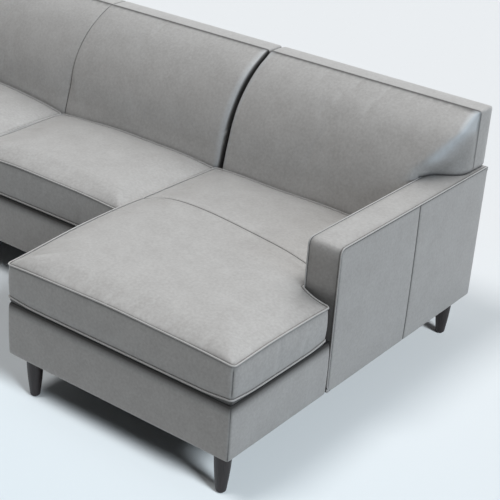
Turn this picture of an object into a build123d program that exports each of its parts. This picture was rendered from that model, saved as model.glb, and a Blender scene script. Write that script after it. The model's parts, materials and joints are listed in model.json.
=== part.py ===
"""Two-piece sectional sofa in leather: a two-seat sofa and a chaise that hooks on to it.

Units are millimetres. The floor is z = 0, the seats face -Y, the chaise is at the +X end and the
origin lies under the middle of the whole footprint.
"""
from build123d import *

import math
import os
from dataclasses import dataclass

# Footprint of the two modules
CHAISE_WIDTH = 850.0
CHAISE_DEPTH = 1362.0
SOFA_DEPTH = 847.0
SEAT_WIDTH = 747.0
MODULE_GAP = 8.0

# Heights, each one counted from the piece below it
LEG_HEIGHT = 152.0
BASE_HEIGHT = 178.0
CUSHION_THICKNESS = 128.0
CUSHION_CROWN = 24.0
ARM_RISE = 302.0
BACK_RISE = 210.0

# Arms
ARM_WIDTH = 112.0
ARM_LENGTH = 884.0
ARM_CORNER_RADIUS = 7.0

# Back: a flat box at the rear with a soft pad in front of it
BACK_BOX_DEPTH = 86.0
BACK_END_INSET = 12.0
PAD_FOOT_DEPTH = 264.0
PAD_LEAN = 36.0
PAD_LEAN_RISE = 142.0
PAD_TOP_SKIN_RATIO = 2.0
PAD_SEAM_GAP = 1.0
# How a pad's end is rounded: distances in from the end, each with the share of the full depth there
PAD_ARM_END_STEPS = (
    (0, 0.06), (10, 0.17), (22, 0.28), (52, 0.42), (84, 0.54), (100, 0.68), (112, 0.9), (130, 1.0),
)
PAD_EDGE_STEPS = ((0, 0.88), (2.4, 0.91), (7.5, 0.94), (16.5, 0.97), (30, 1.0))
PAD_SEAM_STEPS = ((0, 0.96), (12, 0.985), (70, 1.0))

# Leather panels, cushion covers and piping
PANEL_THICKNESS = 8.0
COVER_THICKNESS = 3.0
CORE_CLEARANCE = 0.5
CUSHION_CLEARANCE = 3.0
EAR_GAP = 26.0
CUSHION_CORNER_RADIUS = 16.0
CUSHION_NOTCH_RADIUS = 5.0
CUSHION_DRAW_IN = 5.0
CUSHION_EDGE_TUCK = 7.0
CROWN_SHARE = 0.38
CROWN_STEPS = (0.12, 0.3, 0.6, 1.0)
WELT_DIAMETER = 7.0
SOFT_CLEARANCE = 0.5

# Timber frame
RAIL_THICKNESS = 25.0
DECK_THICKNESS = 12.0
BACK_POST_WIDTH = 45.0
BACK_RAIL_HEIGHT = 40.0
WEBBING_THICKNESS = 2.0
WEBBING_WIDTH = 50.0
WEBBING_STRAPS = 4
ARM_BOARD_THICKNESS = 4.0
DUST_COVER_THICKNESS = 1.5
DUST_COVER_INSET = 16.0

# Legs and what holds them
LEG_TOP_RADIUS = 27.0
LEG_FOOT_RADIUS = 16.0
LEG_BELLY = 2.2
LEG_FOOT_ROUND = 7.0
GLIDE_THICKNESS = 3.0
GLIDE_RADIUS = 9.0
PLATE_SIZE = 50.0
PLATE_THICKNESS = 3.0
BLOCK_HEIGHT = 60.0
BOLT_RADIUS = 4.0
BOLT_LENGTH = 64.0
BOLT_CLEARANCE = 0.2

# Seat springs
SPRING_WIRE_RADIUS = 1.9
SPRING_HALF_WIDTH = 24.0
SPRING_PITCH = 42.0
SPRINGS_PER_SEAT = 4
CHAISE_SPRINGS = 6
CLIP_LENGTH = 6.0
CLIP_WIDTH = 30.0
CLIP_HEIGHT = 10.0
CLIP_PLAY = 0.2

# Connectors in the gap between the modules
CONNECTOR_INSET = 170.0
CONNECTOR_HALF_WIDTH = 40.0
CONNECTOR_HEIGHT = 60.0
CONNECTOR_PLATE = 1.5
CONNECTOR_CHEEK = 12.0
CONNECTOR_PLAY = 0.6
TONGUE_FOOT = 8.0
HOOK_BRIDGE = 6.0
HOOK_RISE = 4.0
HOOK_PLATE_HEIGHT = 45.0

# Sizes that follow from those above
BASE_TOP = LEG_HEIGHT + BASE_HEIGHT
RAIL_TOP = BASE_TOP - DECK_THICKNESS
CUSHION_TOP = BASE_TOP + CUSHION_THICKNESS
ARM_TOP = BASE_TOP + ARM_RISE
BACK_TOP = ARM_TOP + BACK_RISE
SOFA_WIDTH = ARM_WIDTH + 2 * SEAT_WIDTH
TOTAL_WIDTH = SOFA_WIDTH + MODULE_GAP + CHAISE_WIDTH
LEFT_END = -TOTAL_WIDTH / 2
RIGHT_END = TOTAL_WIDTH / 2
FRONT_END = -CHAISE_DEPTH / 2
REAR = CHAISE_DEPTH / 2
PANEL_REAR = REAR - PANEL_THICKNESS
BOX_FRONT = REAR - BACK_BOX_DEPTH
POST_FRONT = BOX_FRONT + WEBBING_THICKNESS
PAD_FRONT = BOX_FRONT - PAD_FOOT_DEPTH
WELT_RADIUS = WELT_DIAMETER / 2
LEG_INSET = PANEL_THICKNESS + RAIL_THICKNESS + PLATE_SIZE / 2
SPRING_LEVEL = RAIL_TOP - CLIP_HEIGHT / 2


@dataclass
class Module:
    """Outline of one module: its open end meets the other module, its arm closes the far end."""

    name: str
    open_end: float
    arm_end: float
    front: float
    arm_front: float

    @property
    def side(self):
        """+1 when the arm is at the +X end, -1 when it is at the -X end."""
        return 1 if self.arm_end > self.open_end else -1

    @property
    def arm_inner(self):
        return self.arm_end - self.side * ARM_WIDTH

    @property
    def back_end(self):
        return self.arm_end - self.side * BACK_END_INSET

    @property
    def has_toe(self):
        """True when the base runs on in front of the arm."""
        return self.arm_front > self.front

    @property
    def front_end(self):
        """Where the base ends sideways at its front, at the arm's end."""
        return self.arm_end if self.has_toe else self.arm_inner

    def leg_places(self):
        """Plan positions of the four legs, two at the open end and then two at the arm's end."""
        open_x = self.open_end + self.side * LEG_INSET
        arm_x = self.arm_end - self.side * LEG_INSET
        ys = (self.front + LEG_INSET, REAR - LEG_INSET)
        return [(x, y) for x in (open_x, arm_x) for y in ys]


SOFA = Module("sofa", LEFT_END + SOFA_WIDTH, LEFT_END, REAR - SOFA_DEPTH, REAR - SOFA_DEPTH)
CHAISE = Module("chaise", RIGHT_END - CHAISE_WIDTH, RIGHT_END, FRONT_END, REAR - ARM_LENGTH)
SEAT_SPLIT = SOFA.open_end - SEAT_WIDTH


def block(x_a, x_b, y_a, y_b, z_a, z_b):
    """A box between two opposite corners, given in either order."""
    middle = Pos((x_a + x_b) / 2, (y_a + y_b) / 2, (z_a + z_b) / 2)
    return middle * Box(abs(x_b - x_a), abs(y_b - y_a), abs(z_b - z_a))


def upright(x, y, z_a, z_b, radius):
    """A round bar standing between two heights."""
    return Pos(x, y, (z_a + z_b) / 2) * Cylinder(radius, z_b - z_a)


def save(name, *solids):
    """Write one named piece, or a group of like pieces, to its own file."""
    bodies = [body for solid in solids for body in solid.solids()]
    export_step(Compound(bodies) if len(bodies) > 1 else bodies[0], f"parts/{name}.step")


def rounded_wire(corners, z):
    """A closed level cushion outline through square corners, which run anticlockwise.

    Outward corners are well rounded, and the inward one beside an arm is almost sharp.
    """
    points = [Vector(x, y, z) for x, y in corners]
    arrivals, middles, departures = [], [], []
    for index, corner in enumerate(points):
        back = (points[index - 1] - corner).normalized()
        onward = (points[(index + 1) % len(points)] - corner).normalized()
        turns_left = onward.cross(back).Z > 0
        radius = CUSHION_CORNER_RADIUS if turns_left else CUSHION_NOTCH_RADIUS
        arrivals.append(corner + back * radius)
        middles.append(corner + (back + onward) * radius * (1 - math.sqrt(0.5)))
        departures.append(corner + onward * radius)
    edges = []
    for index in range(len(points)):
        edges.append(Line(departures[index - 1], arrivals[index]))
        edges.append(ThreePointArc(arrivals[index], middles[index], departures[index]))
    return Wire(edges)


def inset_corners(corners, inset):
    """The same square-cornered outline, moved inward on every side (corners run anticlockwise)."""
    moved = []
    for index, (x, y) in enumerate(corners):
        before_x, before_y = corners[index - 1]
        after_x, after_y = corners[(index + 1) % len(corners)]
        arriving = Vector(x - before_x, y - before_y).normalized()
        leaving = Vector(after_x - x, after_y - y).normalized()
        moved.append((x - (arriving.Y + leaving.Y) * inset, y + (arriving.X + leaving.X) * inset))
    return moved


def cushion_form(corners, narrow, skin):
    """A crowned cushion: tucked lower edge, sides drawn in between the welts, domed top.

    narrow is the cushion's least depth from front to back, which limits how far the dome reaches in.
    skin is how far this form lies inside the outer one: 0 for the cover's outside.
    """
    low = BASE_TOP + skin
    high = CUSHION_TOP - WELT_RADIUS
    levels = [
        (low, CUSHION_EDGE_TUCK),
        (BASE_TOP + WELT_DIAMETER + skin, WELT_RADIUS),
        ((low + high) / 2, CUSHION_DRAW_IN + WELT_RADIUS),
        (high - skin, WELT_RADIUS),
    ]
    for share in CROWN_STEPS:
        rise = (CUSHION_CROWN + WELT_RADIUS) * math.sin(share * math.pi / 2)
        levels.append((high + rise - skin, WELT_RADIUS + share * CROWN_SHARE * narrow))
    faces = []
    for z, inset in levels:
        outline = inset_corners(corners, inset + skin)
        faces.append(Face(rounded_wire(outline, z)))
    return loft(faces, ruled=True)


def welt(corners, z):
    """Piping that runs once round a cushion."""
    path = rounded_wire(inset_corners(corners, WELT_RADIUS), z)
    section = Plane(origin=path @ 0, z_dir=path % 0) * Circle(WELT_RADIUS)
    return sweep(section, path=path)


def make_cushion(name, corners, narrow):
    """One loose seat cushion: hollow cover, foam core and two welts."""
    shell = cushion_form(corners, narrow, 0) - cushion_form(corners, narrow, COVER_THICKNESS)
    save(f"{name}_cover", shell)
    save(f"{name}_core", cushion_form(corners, narrow, COVER_THICKNESS + CORE_CLEARANCE))
    lower = welt(corners, BASE_TOP + WELT_RADIUS + SOFT_CLEARANCE)
    upper = welt(corners, CUSHION_TOP - WELT_RADIUS)
    save(f"{name}_welts", lower, upper)


def pad_section(x, share, skin):
    """Side outline of a back pad at one place along it, its depth cut down to the given share."""
    rear = BOX_FRONT - skin
    foot = BOX_FRONT - PAD_FOOT_DEPTH * share + skin
    shoulder = BOX_FRONT - (PAD_FOOT_DEPTH - PAD_LEAN) * share + skin
    rear_low = Vector(x, rear, BASE_TOP + skin)
    front_low = Vector(x, foot, BASE_TOP + skin)
    seat_line = Vector(x, foot, CUSHION_TOP)
    lean_end = Vector(x, shoulder, CUSHION_TOP + PAD_LEAN_RISE)
    rear_high = Vector(x, rear, BACK_TOP - PAD_TOP_SKIN_RATIO * skin)
    edges = [
        Line(rear_low, front_low),
        Line(front_low, seat_line),
        Line(seat_line, lean_end),
        TangentArc(lean_end, rear_high, tangent=lean_end - seat_line),
        Line(rear_high, rear_low),
    ]
    return Face(Wire(edges))


@dataclass
class PadEnd:
    """One end of a back pad: its place and the steps of its rounding."""

    x: float
    steps: tuple

    def stations(self, inward, skin):
        """Places from the end inward, each with its share of the pad's full depth."""
        return [(self.x + inward * (distance + skin), share) for distance, share in self.steps]


def pad_form(left, right, module, skin):
    """A back pad between two ends that keeps clear of the module's arm.

    skin is how far this form lies inside the outer one: 0 for the cover's outside.
    """
    stations = left.stations(1, skin) + right.stations(-1, skin)[::-1]
    pad = loft([pad_section(x, share, skin) for x, share in stations], ruled=True)
    return pad - arm_room(module, SOFT_CLEARANCE + skin)


def make_pads(module, pads):
    """Leather covers and foam cores of a module's back pads; pads maps names to their two ends."""
    cores = []
    for name, (left, right) in pads.items():
        outside = pad_form(left, right, module, 0)
        save(name, outside - pad_form(left, right, module, COVER_THICKNESS))
        cores.append(pad_form(left, right, module, COVER_THICKNESS + CORE_CLEARANCE))
    save(f"{module.name}_back_cores", *cores)


def arm_room(module, play):
    """The space an arm takes up, with some play round it."""
    return block(
        module.arm_inner - module.side * play, module.arm_end, PAD_FRONT, BOX_FRONT, BASE_TOP, ARM_TOP + play
    )


def make_seat_frame(module):
    """Rails round the seat, corner blocks, plates, hanger bolts, legs, glides and dust cover."""
    name, side = module.name, module.side
    open_x = module.open_end + side * PANEL_THICKNESS
    arm_x = module.arm_inner
    toe_x = module.arm_end - side * PANEL_THICKNESS
    front_y = module.front + PANEL_THICKNESS
    inner_front = front_y + RAIL_THICKNESS
    inner_rear = PANEL_REAR - RAIL_THICKNESS
    front_x = toe_x if module.has_toe else arm_x
    save(
        f"{name}_long_rails",
        block(open_x, front_x, front_y, inner_front, LEG_HEIGHT, RAIL_TOP),
        block(open_x, arm_x, inner_rear, PANEL_REAR, LEG_HEIGHT, RAIL_TOP),
    )
    rail = side * RAIL_THICKNESS
    cross_rails = [
        block(open_x, open_x + rail, inner_front, inner_rear, LEG_HEIGHT, RAIL_TOP),
        block(arm_x - rail, arm_x, inner_front, inner_rear, LEG_HEIGHT, RAIL_TOP),
    ]
    if module.has_toe:
        toe_end = module.arm_front - RAIL_THICKNESS
        cross_rails.append(block(toe_x - rail, toe_x, inner_front, toe_end, LEG_HEIGHT, RAIL_TOP))
        cross_rails.append(block(arm_x, toe_x, toe_end, module.arm_front, LEG_HEIGHT, RAIL_TOP))
    else:
        middle = SEAT_SPLIT - rail / 2
        cross_rails.append(
            block(middle, middle + rail, inner_front, inner_rear, LEG_HEIGHT, RAIL_TOP)
        )
    save(f"{name}_cross_rails", *cross_rails)

    plates, bolts, legs, glides, blocks = [], [], [], [], []
    plate_top = LEG_HEIGHT + PLATE_THICKNESS
    half = PLATE_SIZE / 2
    bolt_low = LEG_HEIGHT - BOLT_LENGTH / 2
    bolt_high = LEG_HEIGHT + BOLT_LENGTH / 2
    for x, y in module.leg_places():
        bore_radius = BOLT_RADIUS + BOLT_CLEARANCE
        bore = upright(x, y, bolt_low - BOLT_CLEARANCE, bolt_high + BOLT_CLEARANCE, bore_radius)
        plate = block(x - half, x + half, y - half, y + half, LEG_HEIGHT, plate_top)
        corner = block(x - half, x + half, y - half, y + half, plate_top, plate_top + BLOCK_HEIGHT)
        plates.append(plate - bore)
        blocks.append(corner - bore)
        bolts.append(upright(x, y, bolt_low, bolt_high, BOLT_RADIUS))
        legs.append(Pos(x, y, 0) * leg_form() - bore)
        glides.append(upright(x, y, 0, GLIDE_THICKNESS, GLIDE_RADIUS))
    save(f"{name}_corner_blocks", *blocks)
    save(f"{name}_leg_fixings", *plates, *bolts)
    save(f"{name}_legs", *legs)
    save(f"{name}_glides", *glides)

    cover_low = LEG_HEIGHT - DUST_COVER_THICKNESS
    inset = module.side * DUST_COVER_INSET
    cover = block(
        module.open_end + inset,
        module.arm_end - inset,
        module.front + DUST_COVER_INSET,
        REAR - DUST_COVER_INSET,
        cover_low,
        LEG_HEIGHT,
    )
    for x, y in module.leg_places():
        cover -= upright(x, y, cover_low, LEG_HEIGHT, LEG_TOP_RADIUS + SOFT_CLEARANCE)
    save(f"{name}_dust_cover", cover)


def leg_form():
    """A round tapered leg with a slight belly and a softened foot, standing on the Z axis."""
    mid_radius = (LEG_TOP_RADIUS + LEG_FOOT_RADIUS) / 2 + LEG_BELLY
    foot_flat = LEG_FOOT_RADIUS - LEG_FOOT_ROUND
    foot_high = GLIDE_THICKNESS + LEG_FOOT_ROUND
    inward = LEG_FOOT_ROUND * (1 - math.sqrt(0.5))
    foot = Line((0, GLIDE_THICKNESS), (foot_flat, GLIDE_THICKNESS))
    rounding = ThreePointArc(
        (foot_flat, GLIDE_THICKNESS),
        (LEG_FOOT_RADIUS - inward, GLIDE_THICKNESS + inward),
        (LEG_FOOT_RADIUS, foot_high),
    )
    belly = ThreePointArc(
        (LEG_FOOT_RADIUS, foot_high),
        (mid_radius, (foot_high + LEG_HEIGHT) / 2),
        (LEG_TOP_RADIUS, LEG_HEIGHT),
    )
    top = Polyline((LEG_TOP_RADIUS, LEG_HEIGHT), (0, LEG_HEIGHT), (0, GLIDE_THICKNESS))
    section = make_face(foot.edges() + rounding.edges() + belly.edges() + top.edges())
    return revolve(Plane.XZ * section, Axis.Z)


def spring_form(length):
    """A sinuous spring lying along +X from x = 0, its end bars across X."""
    loops = max(2, round(length / SPRING_PITCH))
    pitch = length / loops
    bend = SPRING_HALF_WIDTH + pitch / 2
    edges = []
    for index in range(loops + 1):
        x = index * pitch
        reach = SPRING_HALF_WIDTH * (-1) ** index
        edges.append(Line((x, -reach), (x, reach)))
        if index < loops:
            tip = (x + pitch / 2, bend * (-1) ** index)
            edges.append(ThreePointArc((x, reach), tip, (x + pitch, reach)))
    path = Wire(edges)
    section = Plane(origin=path @ 0, z_dir=path % 0) * Circle(SPRING_WIRE_RADIUS)
    return sweep(section, path=path)


def make_springs(name, places, start, end, turned):
    """Springs and the clips at both their ends; places are spaced across the run from start to end."""
    first_bar = start + CLIP_LENGTH + SPRING_WIRE_RADIUS + CLIP_PLAY
    last_bar = end - CLIP_LENGTH - SPRING_WIRE_RADIUS - CLIP_PLAY
    form = spring_form(last_bar - first_bar)
    turn = Rot(0, 0, 90) if turned else Rot(0, 0, 0)
    half, tall = CLIP_WIDTH / 2, CLIP_HEIGHT / 2
    near_clip = block(start, start + CLIP_LENGTH, -half, half, -tall, tall)
    far_clip = block(end - CLIP_LENGTH, end, -half, half, -tall, tall)
    springs, clips = [], []
    for place in places:
        shift = Pos(place, 0, SPRING_LEVEL) if turned else Pos(0, place, SPRING_LEVEL)
        springs.append(shift * turn * Pos(first_bar, 0, 0) * form)
        clips.append(shift * turn * near_clip)
        clips.append(shift * turn * far_clip)
    save(f"{name}_seat_springs", *springs)
    save(f"{name}_spring_clips", *clips)


def spaced(start, end, count):
    """Places spread evenly between two ends, with half a step left at each end."""
    step = (end - start) / count
    return [start + step * (index + 0.5) for index in range(count)]


def make_seat_skin(module):
    """Deck the cushions lie on and the leather borders round the base."""
    name, side = module.name, module.side
    inner_open = module.open_end + side * PANEL_THICKNESS
    inner_front = module.front + PANEL_THICKNESS
    inner_toe = module.arm_end - side * PANEL_THICKNESS
    deck = block(inner_open, module.arm_inner, inner_front, BOX_FRONT, RAIL_TOP, BASE_TOP)
    borders = [
        block(module.open_end, module.front_end, module.front, inner_front, LEG_HEIGHT, BASE_TOP),
        block(module.open_end, inner_open, inner_front, PANEL_REAR, LEG_HEIGHT, BASE_TOP),
    ]
    if module.has_toe:
        deck += block(module.arm_inner, inner_toe, inner_front, module.arm_front, RAIL_TOP, BASE_TOP)
        borders.append(
            block(inner_toe, module.arm_end, inner_front, module.arm_front, LEG_HEIGHT, BASE_TOP)
        )
    save(f"{name}_deck", deck)
    save(f"{name}_borders", *borders)


def make_back_frame(module, post_middles):
    """Posts, rails and webbing inside the back box; post_middles are extra posts between the ends."""
    name, side = module.name, module.side
    open_x = module.open_end + side * PANEL_THICKNESS
    arm_x = module.arm_inner
    top_x = module.back_end - side * PANEL_THICKNESS
    rail_high = BACK_TOP - PANEL_THICKNESS
    rail_low = rail_high - BACK_RAIL_HEIGHT
    half = side * BACK_POST_WIDTH / 2
    middles = [open_x + half, *post_middles, arm_x - half]
    posts = [block(x - half, x + half, POST_FRONT, PANEL_REAR, RAIL_TOP, rail_low) for x in middles]
    save(f"{name}_back_posts", *posts)
    rails = [block(open_x, top_x, POST_FRONT, PANEL_REAR, rail_low, rail_high)]
    for near, far in zip(middles, middles[1:]):
        rails.append(
            block(near + half, far - half, POST_FRONT, PANEL_REAR, BASE_TOP, BASE_TOP + BACK_RAIL_HEIGHT)
        )
    save(f"{name}_back_rails", *rails)
    straps = []
    half_strap = WEBBING_WIDTH / 2
    for z in spaced(BASE_TOP + BACK_RAIL_HEIGHT, rail_low, WEBBING_STRAPS):
        straps.append(block(open_x, arm_x, BOX_FRONT, POST_FRONT, z - half_strap, z + half_strap))
    save(f"{name}_back_webbing", *straps)


def make_back_skin(module):
    """Leather round the back box: a band over its top and ends, and the flat outside back."""
    name, side = module.name, module.side
    panel = side * PANEL_THICKNESS
    under_top = BACK_TOP - PANEL_THICKNESS
    save(
        f"{name}_back_band",
        block(module.open_end, module.back_end, BOX_FRONT, PANEL_REAR, under_top, BACK_TOP),
        block(module.open_end, module.open_end + panel, BOX_FRONT, PANEL_REAR, BASE_TOP, under_top),
        block(module.back_end - panel, module.back_end, BOX_FRONT, PANEL_REAR, ARM_TOP, under_top),
    )
    rear = block(module.open_end, module.arm_inner, PANEL_REAR, REAR, LEG_HEIGHT, BACK_TOP)
    rear += block(module.arm_inner, module.back_end, PANEL_REAR, REAR, ARM_TOP, BACK_TOP)
    save(f"{name}_outside_back", rear)


def make_arm(module):
    """Track arm: timber frame, thin boards, a leather band over it, outside and inside panels."""
    name, side = module.name, module.side
    panel = side * PANEL_THICKNESS
    outer, inner = module.arm_end, module.arm_inner
    board_out, board_in = outer - panel, inner + panel
    core_out = board_out - side * ARM_BOARD_THICKNESS
    core_in = board_in + side * ARM_BOARD_THICKNESS
    front_y, rear_y = module.arm_front + PANEL_THICKNESS, PANEL_REAR
    low = LEG_HEIGHT + PLATE_THICKNESS + BLOCK_HEIGHT
    high = ARM_TOP - PANEL_THICKNESS
    top_rail = block(core_out, core_in, front_y, rear_y, high - RAIL_THICKNESS, high)
    posts = [
        block(core_out, core_in, front_y, front_y + RAIL_THICKNESS, low, high - RAIL_THICKNESS),
        block(core_out, core_in, rear_y - RAIL_THICKNESS, rear_y, low, high - RAIL_THICKNESS),
    ]
    sill_low = LEG_HEIGHT + PLATE_THICKNESS
    sill = block(core_out, core_in, front_y, rear_y, sill_low, low)
    for x, y in module.leg_places():
        sill -= block(
            x - PLATE_SIZE / 2, x + PLATE_SIZE / 2, y - PLATE_SIZE / 2, y + PLATE_SIZE / 2, sill_low, low
        )
    save(f"{name}_arm_frame", sill, *posts, top_rail)
    save(
        f"{name}_arm_boards",
        block(core_out, board_out, front_y, rear_y, LEG_HEIGHT, high),
        block(core_in, board_in, front_y, rear_y, LEG_HEIGHT, high),
    )
    save(f"{name}_arm_band", *arm_band(module, high))
    seam_y = (module.arm_front + REAR) / 2
    save(
        f"{name}_arm_outside_panels",
        block(board_out, outer, front_y, seam_y, LEG_HEIGHT, high),
        block(board_out, outer, seam_y, rear_y, LEG_HEIGHT, high),
    )
    save(f"{name}_arm_inside_panel", block(inner, board_in, front_y, rear_y, LEG_HEIGHT, high))


def arm_band(module, under_top):
    """The strip round the arm, in three lengths: up its front, along its top and down its rear."""
    outer, inner = module.arm_end, module.arm_inner
    front_y = module.arm_front + PANEL_THICKNESS
    front = block(outer, inner, module.arm_front, front_y, LEG_HEIGHT, under_top)
    top = block(outer, inner, module.arm_front, REAR, under_top, ARM_TOP)
    corner_place = ((outer + inner) / 2, module.arm_front, ARM_TOP)
    corner = top.edges().filter_by(Axis.X).sort_by_distance(corner_place)[0]
    top = fillet(corner, ARM_CORNER_RADIUS)
    rear = block(outer, inner, PANEL_REAR, REAR, LEG_HEIGHT, under_top)
    return [front, top, rear]


def make_connectors():
    """Sockets on the sofa's open end and the hooks of the chaise that drop into them."""
    sockets, hooks = [], []
    wall = SOFA.open_end
    far_wall = CHAISE.open_end
    low = LEG_HEIGHT + (BASE_HEIGHT - CONNECTOR_HEIGHT - HOOK_PLATE_HEIGHT) / 2
    high = low + CONNECTOR_HEIGHT
    half = CONNECTOR_HALF_WIDTH
    face_far = far_wall - CONNECTOR_PLATE
    face_near = face_far - CONNECTOR_PLATE
    for y in (SOFA.front + CONNECTOR_INSET, REAR - CONNECTOR_INSET):
        socket = block(wall, face_far, y - half, y + half, low, high)
        slot_half = half - CONNECTOR_CHEEK
        socket -= block(wall + CONNECTOR_PLATE, face_near, y - slot_half, y + slot_half, low, high)
        sockets.append(socket)
        tongue_half = slot_half - CONNECTOR_PLAY
        tongue_near = wall + CONNECTOR_PLATE + CONNECTOR_PLAY
        tongue_far = face_near - CONNECTOR_PLAY
        bridge_low = high + HOOK_RISE
        bridge_high = bridge_low + HOOK_BRIDGE
        y_a, y_b = y - tongue_half, y + tongue_half
        hook = block(tongue_near, tongue_far, y_a, y_b, low + TONGUE_FOOT, bridge_high)
        hook += block(tongue_near, far_wall, y_a, y_b, bridge_low, bridge_high)
        plate_near = far_wall - CONNECTOR_PLATE
        plate_high = bridge_low + HOOK_PLATE_HEIGHT
        hook += block(plate_near, far_wall, y - half, y + half, bridge_low, plate_high)
        hooks.append(hook)
    save("sofa_connector_sockets", *sockets)
    save("chaise_connector_hooks", *hooks)


def make_module(module, post_middles):
    """Everything of one module except its pads, springs and cushions."""
    make_seat_frame(module)
    make_seat_skin(module)
    make_back_frame(module, post_middles)
    make_back_skin(module)
    make_arm(module)


def make_sofa():
    """The two-seat module."""
    make_module(SOFA, [SEAT_SPLIT])
    inner_front = SOFA.front + PANEL_THICKNESS + RAIL_THICKNESS
    inner_rear = PANEL_REAR - RAIL_THICKNESS
    places = spaced(SOFA.arm_inner, SEAT_SPLIT, SPRINGS_PER_SEAT)
    places += spaced(SEAT_SPLIT, SOFA.open_end, SPRINGS_PER_SEAT)
    make_springs("sofa", places, inner_front, inner_rear, True)
    by_arm = PadEnd(SOFA.back_end, PAD_ARM_END_STEPS)
    seam_left = PadEnd(SEAT_SPLIT - PAD_SEAM_GAP / 2, PAD_SEAM_STEPS)
    seam_right = PadEnd(SEAT_SPLIT + PAD_SEAM_GAP / 2, PAD_SEAM_STEPS)
    open_edge = PadEnd(SOFA.open_end, PAD_EDGE_STEPS)
    pads = {
        "sofa_back_pad_left": (by_arm, seam_left),
        "sofa_back_pad_right": (seam_right, open_edge),
    }
    make_pads(SOFA, pads)
    rear = PAD_FRONT - CUSHION_CLEARANCE
    half_play = CUSHION_CLEARANCE / 2
    spans = {
        "sofa_left_cushion": (SOFA.arm_inner + CUSHION_CLEARANCE, SEAT_SPLIT - half_play),
        "sofa_right_cushion": (SEAT_SPLIT + half_play, SOFA.open_end),
    }
    for name, (left, right) in spans.items():
        corners = [(left, SOFA.front), (right, SOFA.front), (right, rear), (left, rear)]
        make_cushion(name, corners, rear - SOFA.front)


def make_chaise():
    """The long module, whose cushion has an ear in front of the arm."""
    make_module(CHAISE, [])
    start = CHAISE.open_end + PANEL_THICKNESS + RAIL_THICKNESS
    end = CHAISE.arm_inner - RAIL_THICKNESS
    inner_front = CHAISE.front + PANEL_THICKNESS + RAIL_THICKNESS
    places = spaced(inner_front, PANEL_REAR - RAIL_THICKNESS, CHAISE_SPRINGS)
    make_springs("chaise", places, start, end, False)
    open_edge = PadEnd(CHAISE.open_end, PAD_EDGE_STEPS)
    by_arm = PadEnd(CHAISE.back_end, PAD_ARM_END_STEPS)
    make_pads(CHAISE, {"chaise_back_pad": (open_edge, by_arm)})
    rear = PAD_FRONT - CUSHION_CLEARANCE
    ear_rear = CHAISE.arm_front - EAR_GAP
    by_arm_x = CHAISE.arm_inner - CUSHION_CLEARANCE
    corners = [
        (CHAISE.open_end, CHAISE.front),
        (CHAISE.arm_end, CHAISE.front),
        (CHAISE.arm_end, ear_rear),
        (by_arm_x, ear_rear),
        (by_arm_x, rear),
        (CHAISE.open_end, rear),
    ]
    make_cushion("chaise_cushion", corners, ear_rear - CHAISE.front)


os.makedirs("parts", exist_ok=True)
make_sofa()
make_chaise()
make_connectors()
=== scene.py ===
"""Leather sectional sofa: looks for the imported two-module frame, laid out as a Blender add-on."""
import json
import math
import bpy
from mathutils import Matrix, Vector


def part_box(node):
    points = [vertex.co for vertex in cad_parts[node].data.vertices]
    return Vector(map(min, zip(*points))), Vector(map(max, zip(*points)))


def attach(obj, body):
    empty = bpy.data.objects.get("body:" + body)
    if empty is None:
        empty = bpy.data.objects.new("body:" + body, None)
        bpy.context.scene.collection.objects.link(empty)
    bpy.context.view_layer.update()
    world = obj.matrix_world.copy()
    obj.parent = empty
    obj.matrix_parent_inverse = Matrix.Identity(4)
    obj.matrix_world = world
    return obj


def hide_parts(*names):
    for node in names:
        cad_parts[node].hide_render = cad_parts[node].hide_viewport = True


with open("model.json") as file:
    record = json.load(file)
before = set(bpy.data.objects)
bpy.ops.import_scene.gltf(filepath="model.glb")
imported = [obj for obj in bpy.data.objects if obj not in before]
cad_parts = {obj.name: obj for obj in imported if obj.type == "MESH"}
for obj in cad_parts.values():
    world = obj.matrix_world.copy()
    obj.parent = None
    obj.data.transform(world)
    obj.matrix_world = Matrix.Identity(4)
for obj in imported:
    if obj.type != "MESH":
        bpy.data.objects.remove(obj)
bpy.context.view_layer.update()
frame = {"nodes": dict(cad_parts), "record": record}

from types import SimpleNamespace

import bpy
import numpy as np
from bpy.props import FloatProperty, IntProperty, PointerProperty, StringProperty
from mathutils import Matrix, Vector

bl_info = {
    "name": "Leather Sectional",
    "version": (1, 0, 0),
    "blender": (4, 5, 0),
    "location": "3D View > Sidebar > Sectional",
    "description": "Upholsters a packed two-module sectional sofa in leather",
    "category": "Object",
}

MM = 0.001

# Modules, read from the frame: where each one's faces lie, in metres
X, Y, Z = 0, 1, 2


def node_box(node):
    """Lowest and highest corner of a CAD node as two plain arrays."""
    low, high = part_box(node)
    return np.array(low), np.array(high)


def read_module(name):
    """Main faces of one module: its ends, fronts and heights."""
    deck_low, deck_high = node_box(f"{name}_deck")
    arm_low, arm_high = node_box(f"{name}_arm_band")
    base_low, base_high = node_box(f"{name}_borders")
    band_low, band_high = node_box(f"{name}_back_band")
    side = 1 if arm_low[X] > band_low[X] else -1
    return SimpleNamespace(
        name=name,
        side=side,
        open_end=band_low[X] if side > 0 else band_high[X],
        back_end=band_high[X] if side > 0 else band_low[X],
        arm_outer=arm_high[X] if side > 0 else arm_low[X],
        arm_inner=arm_low[X] if side > 0 else arm_high[X],
        front=base_low[Y],
        arm_front=arm_low[Y],
        rear=arm_high[Y],
        box_front=band_low[Y],
        base_low=base_low[Z],
        base_top=deck_high[Z],
        arm_top=arm_high[Z],
        back_top=band_high[Z],
    )


SOFA = read_module("sofa")
CHAISE = read_module("chaise")
SEAT_SPLIT = (node_box("sofa_left_cushion_welts")[1][X] + node_box("sofa_right_cushion_welts")[0][X]) / 2
EAR_TOP = node_box("chaise_cushion_welts")[1][Z]


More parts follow.
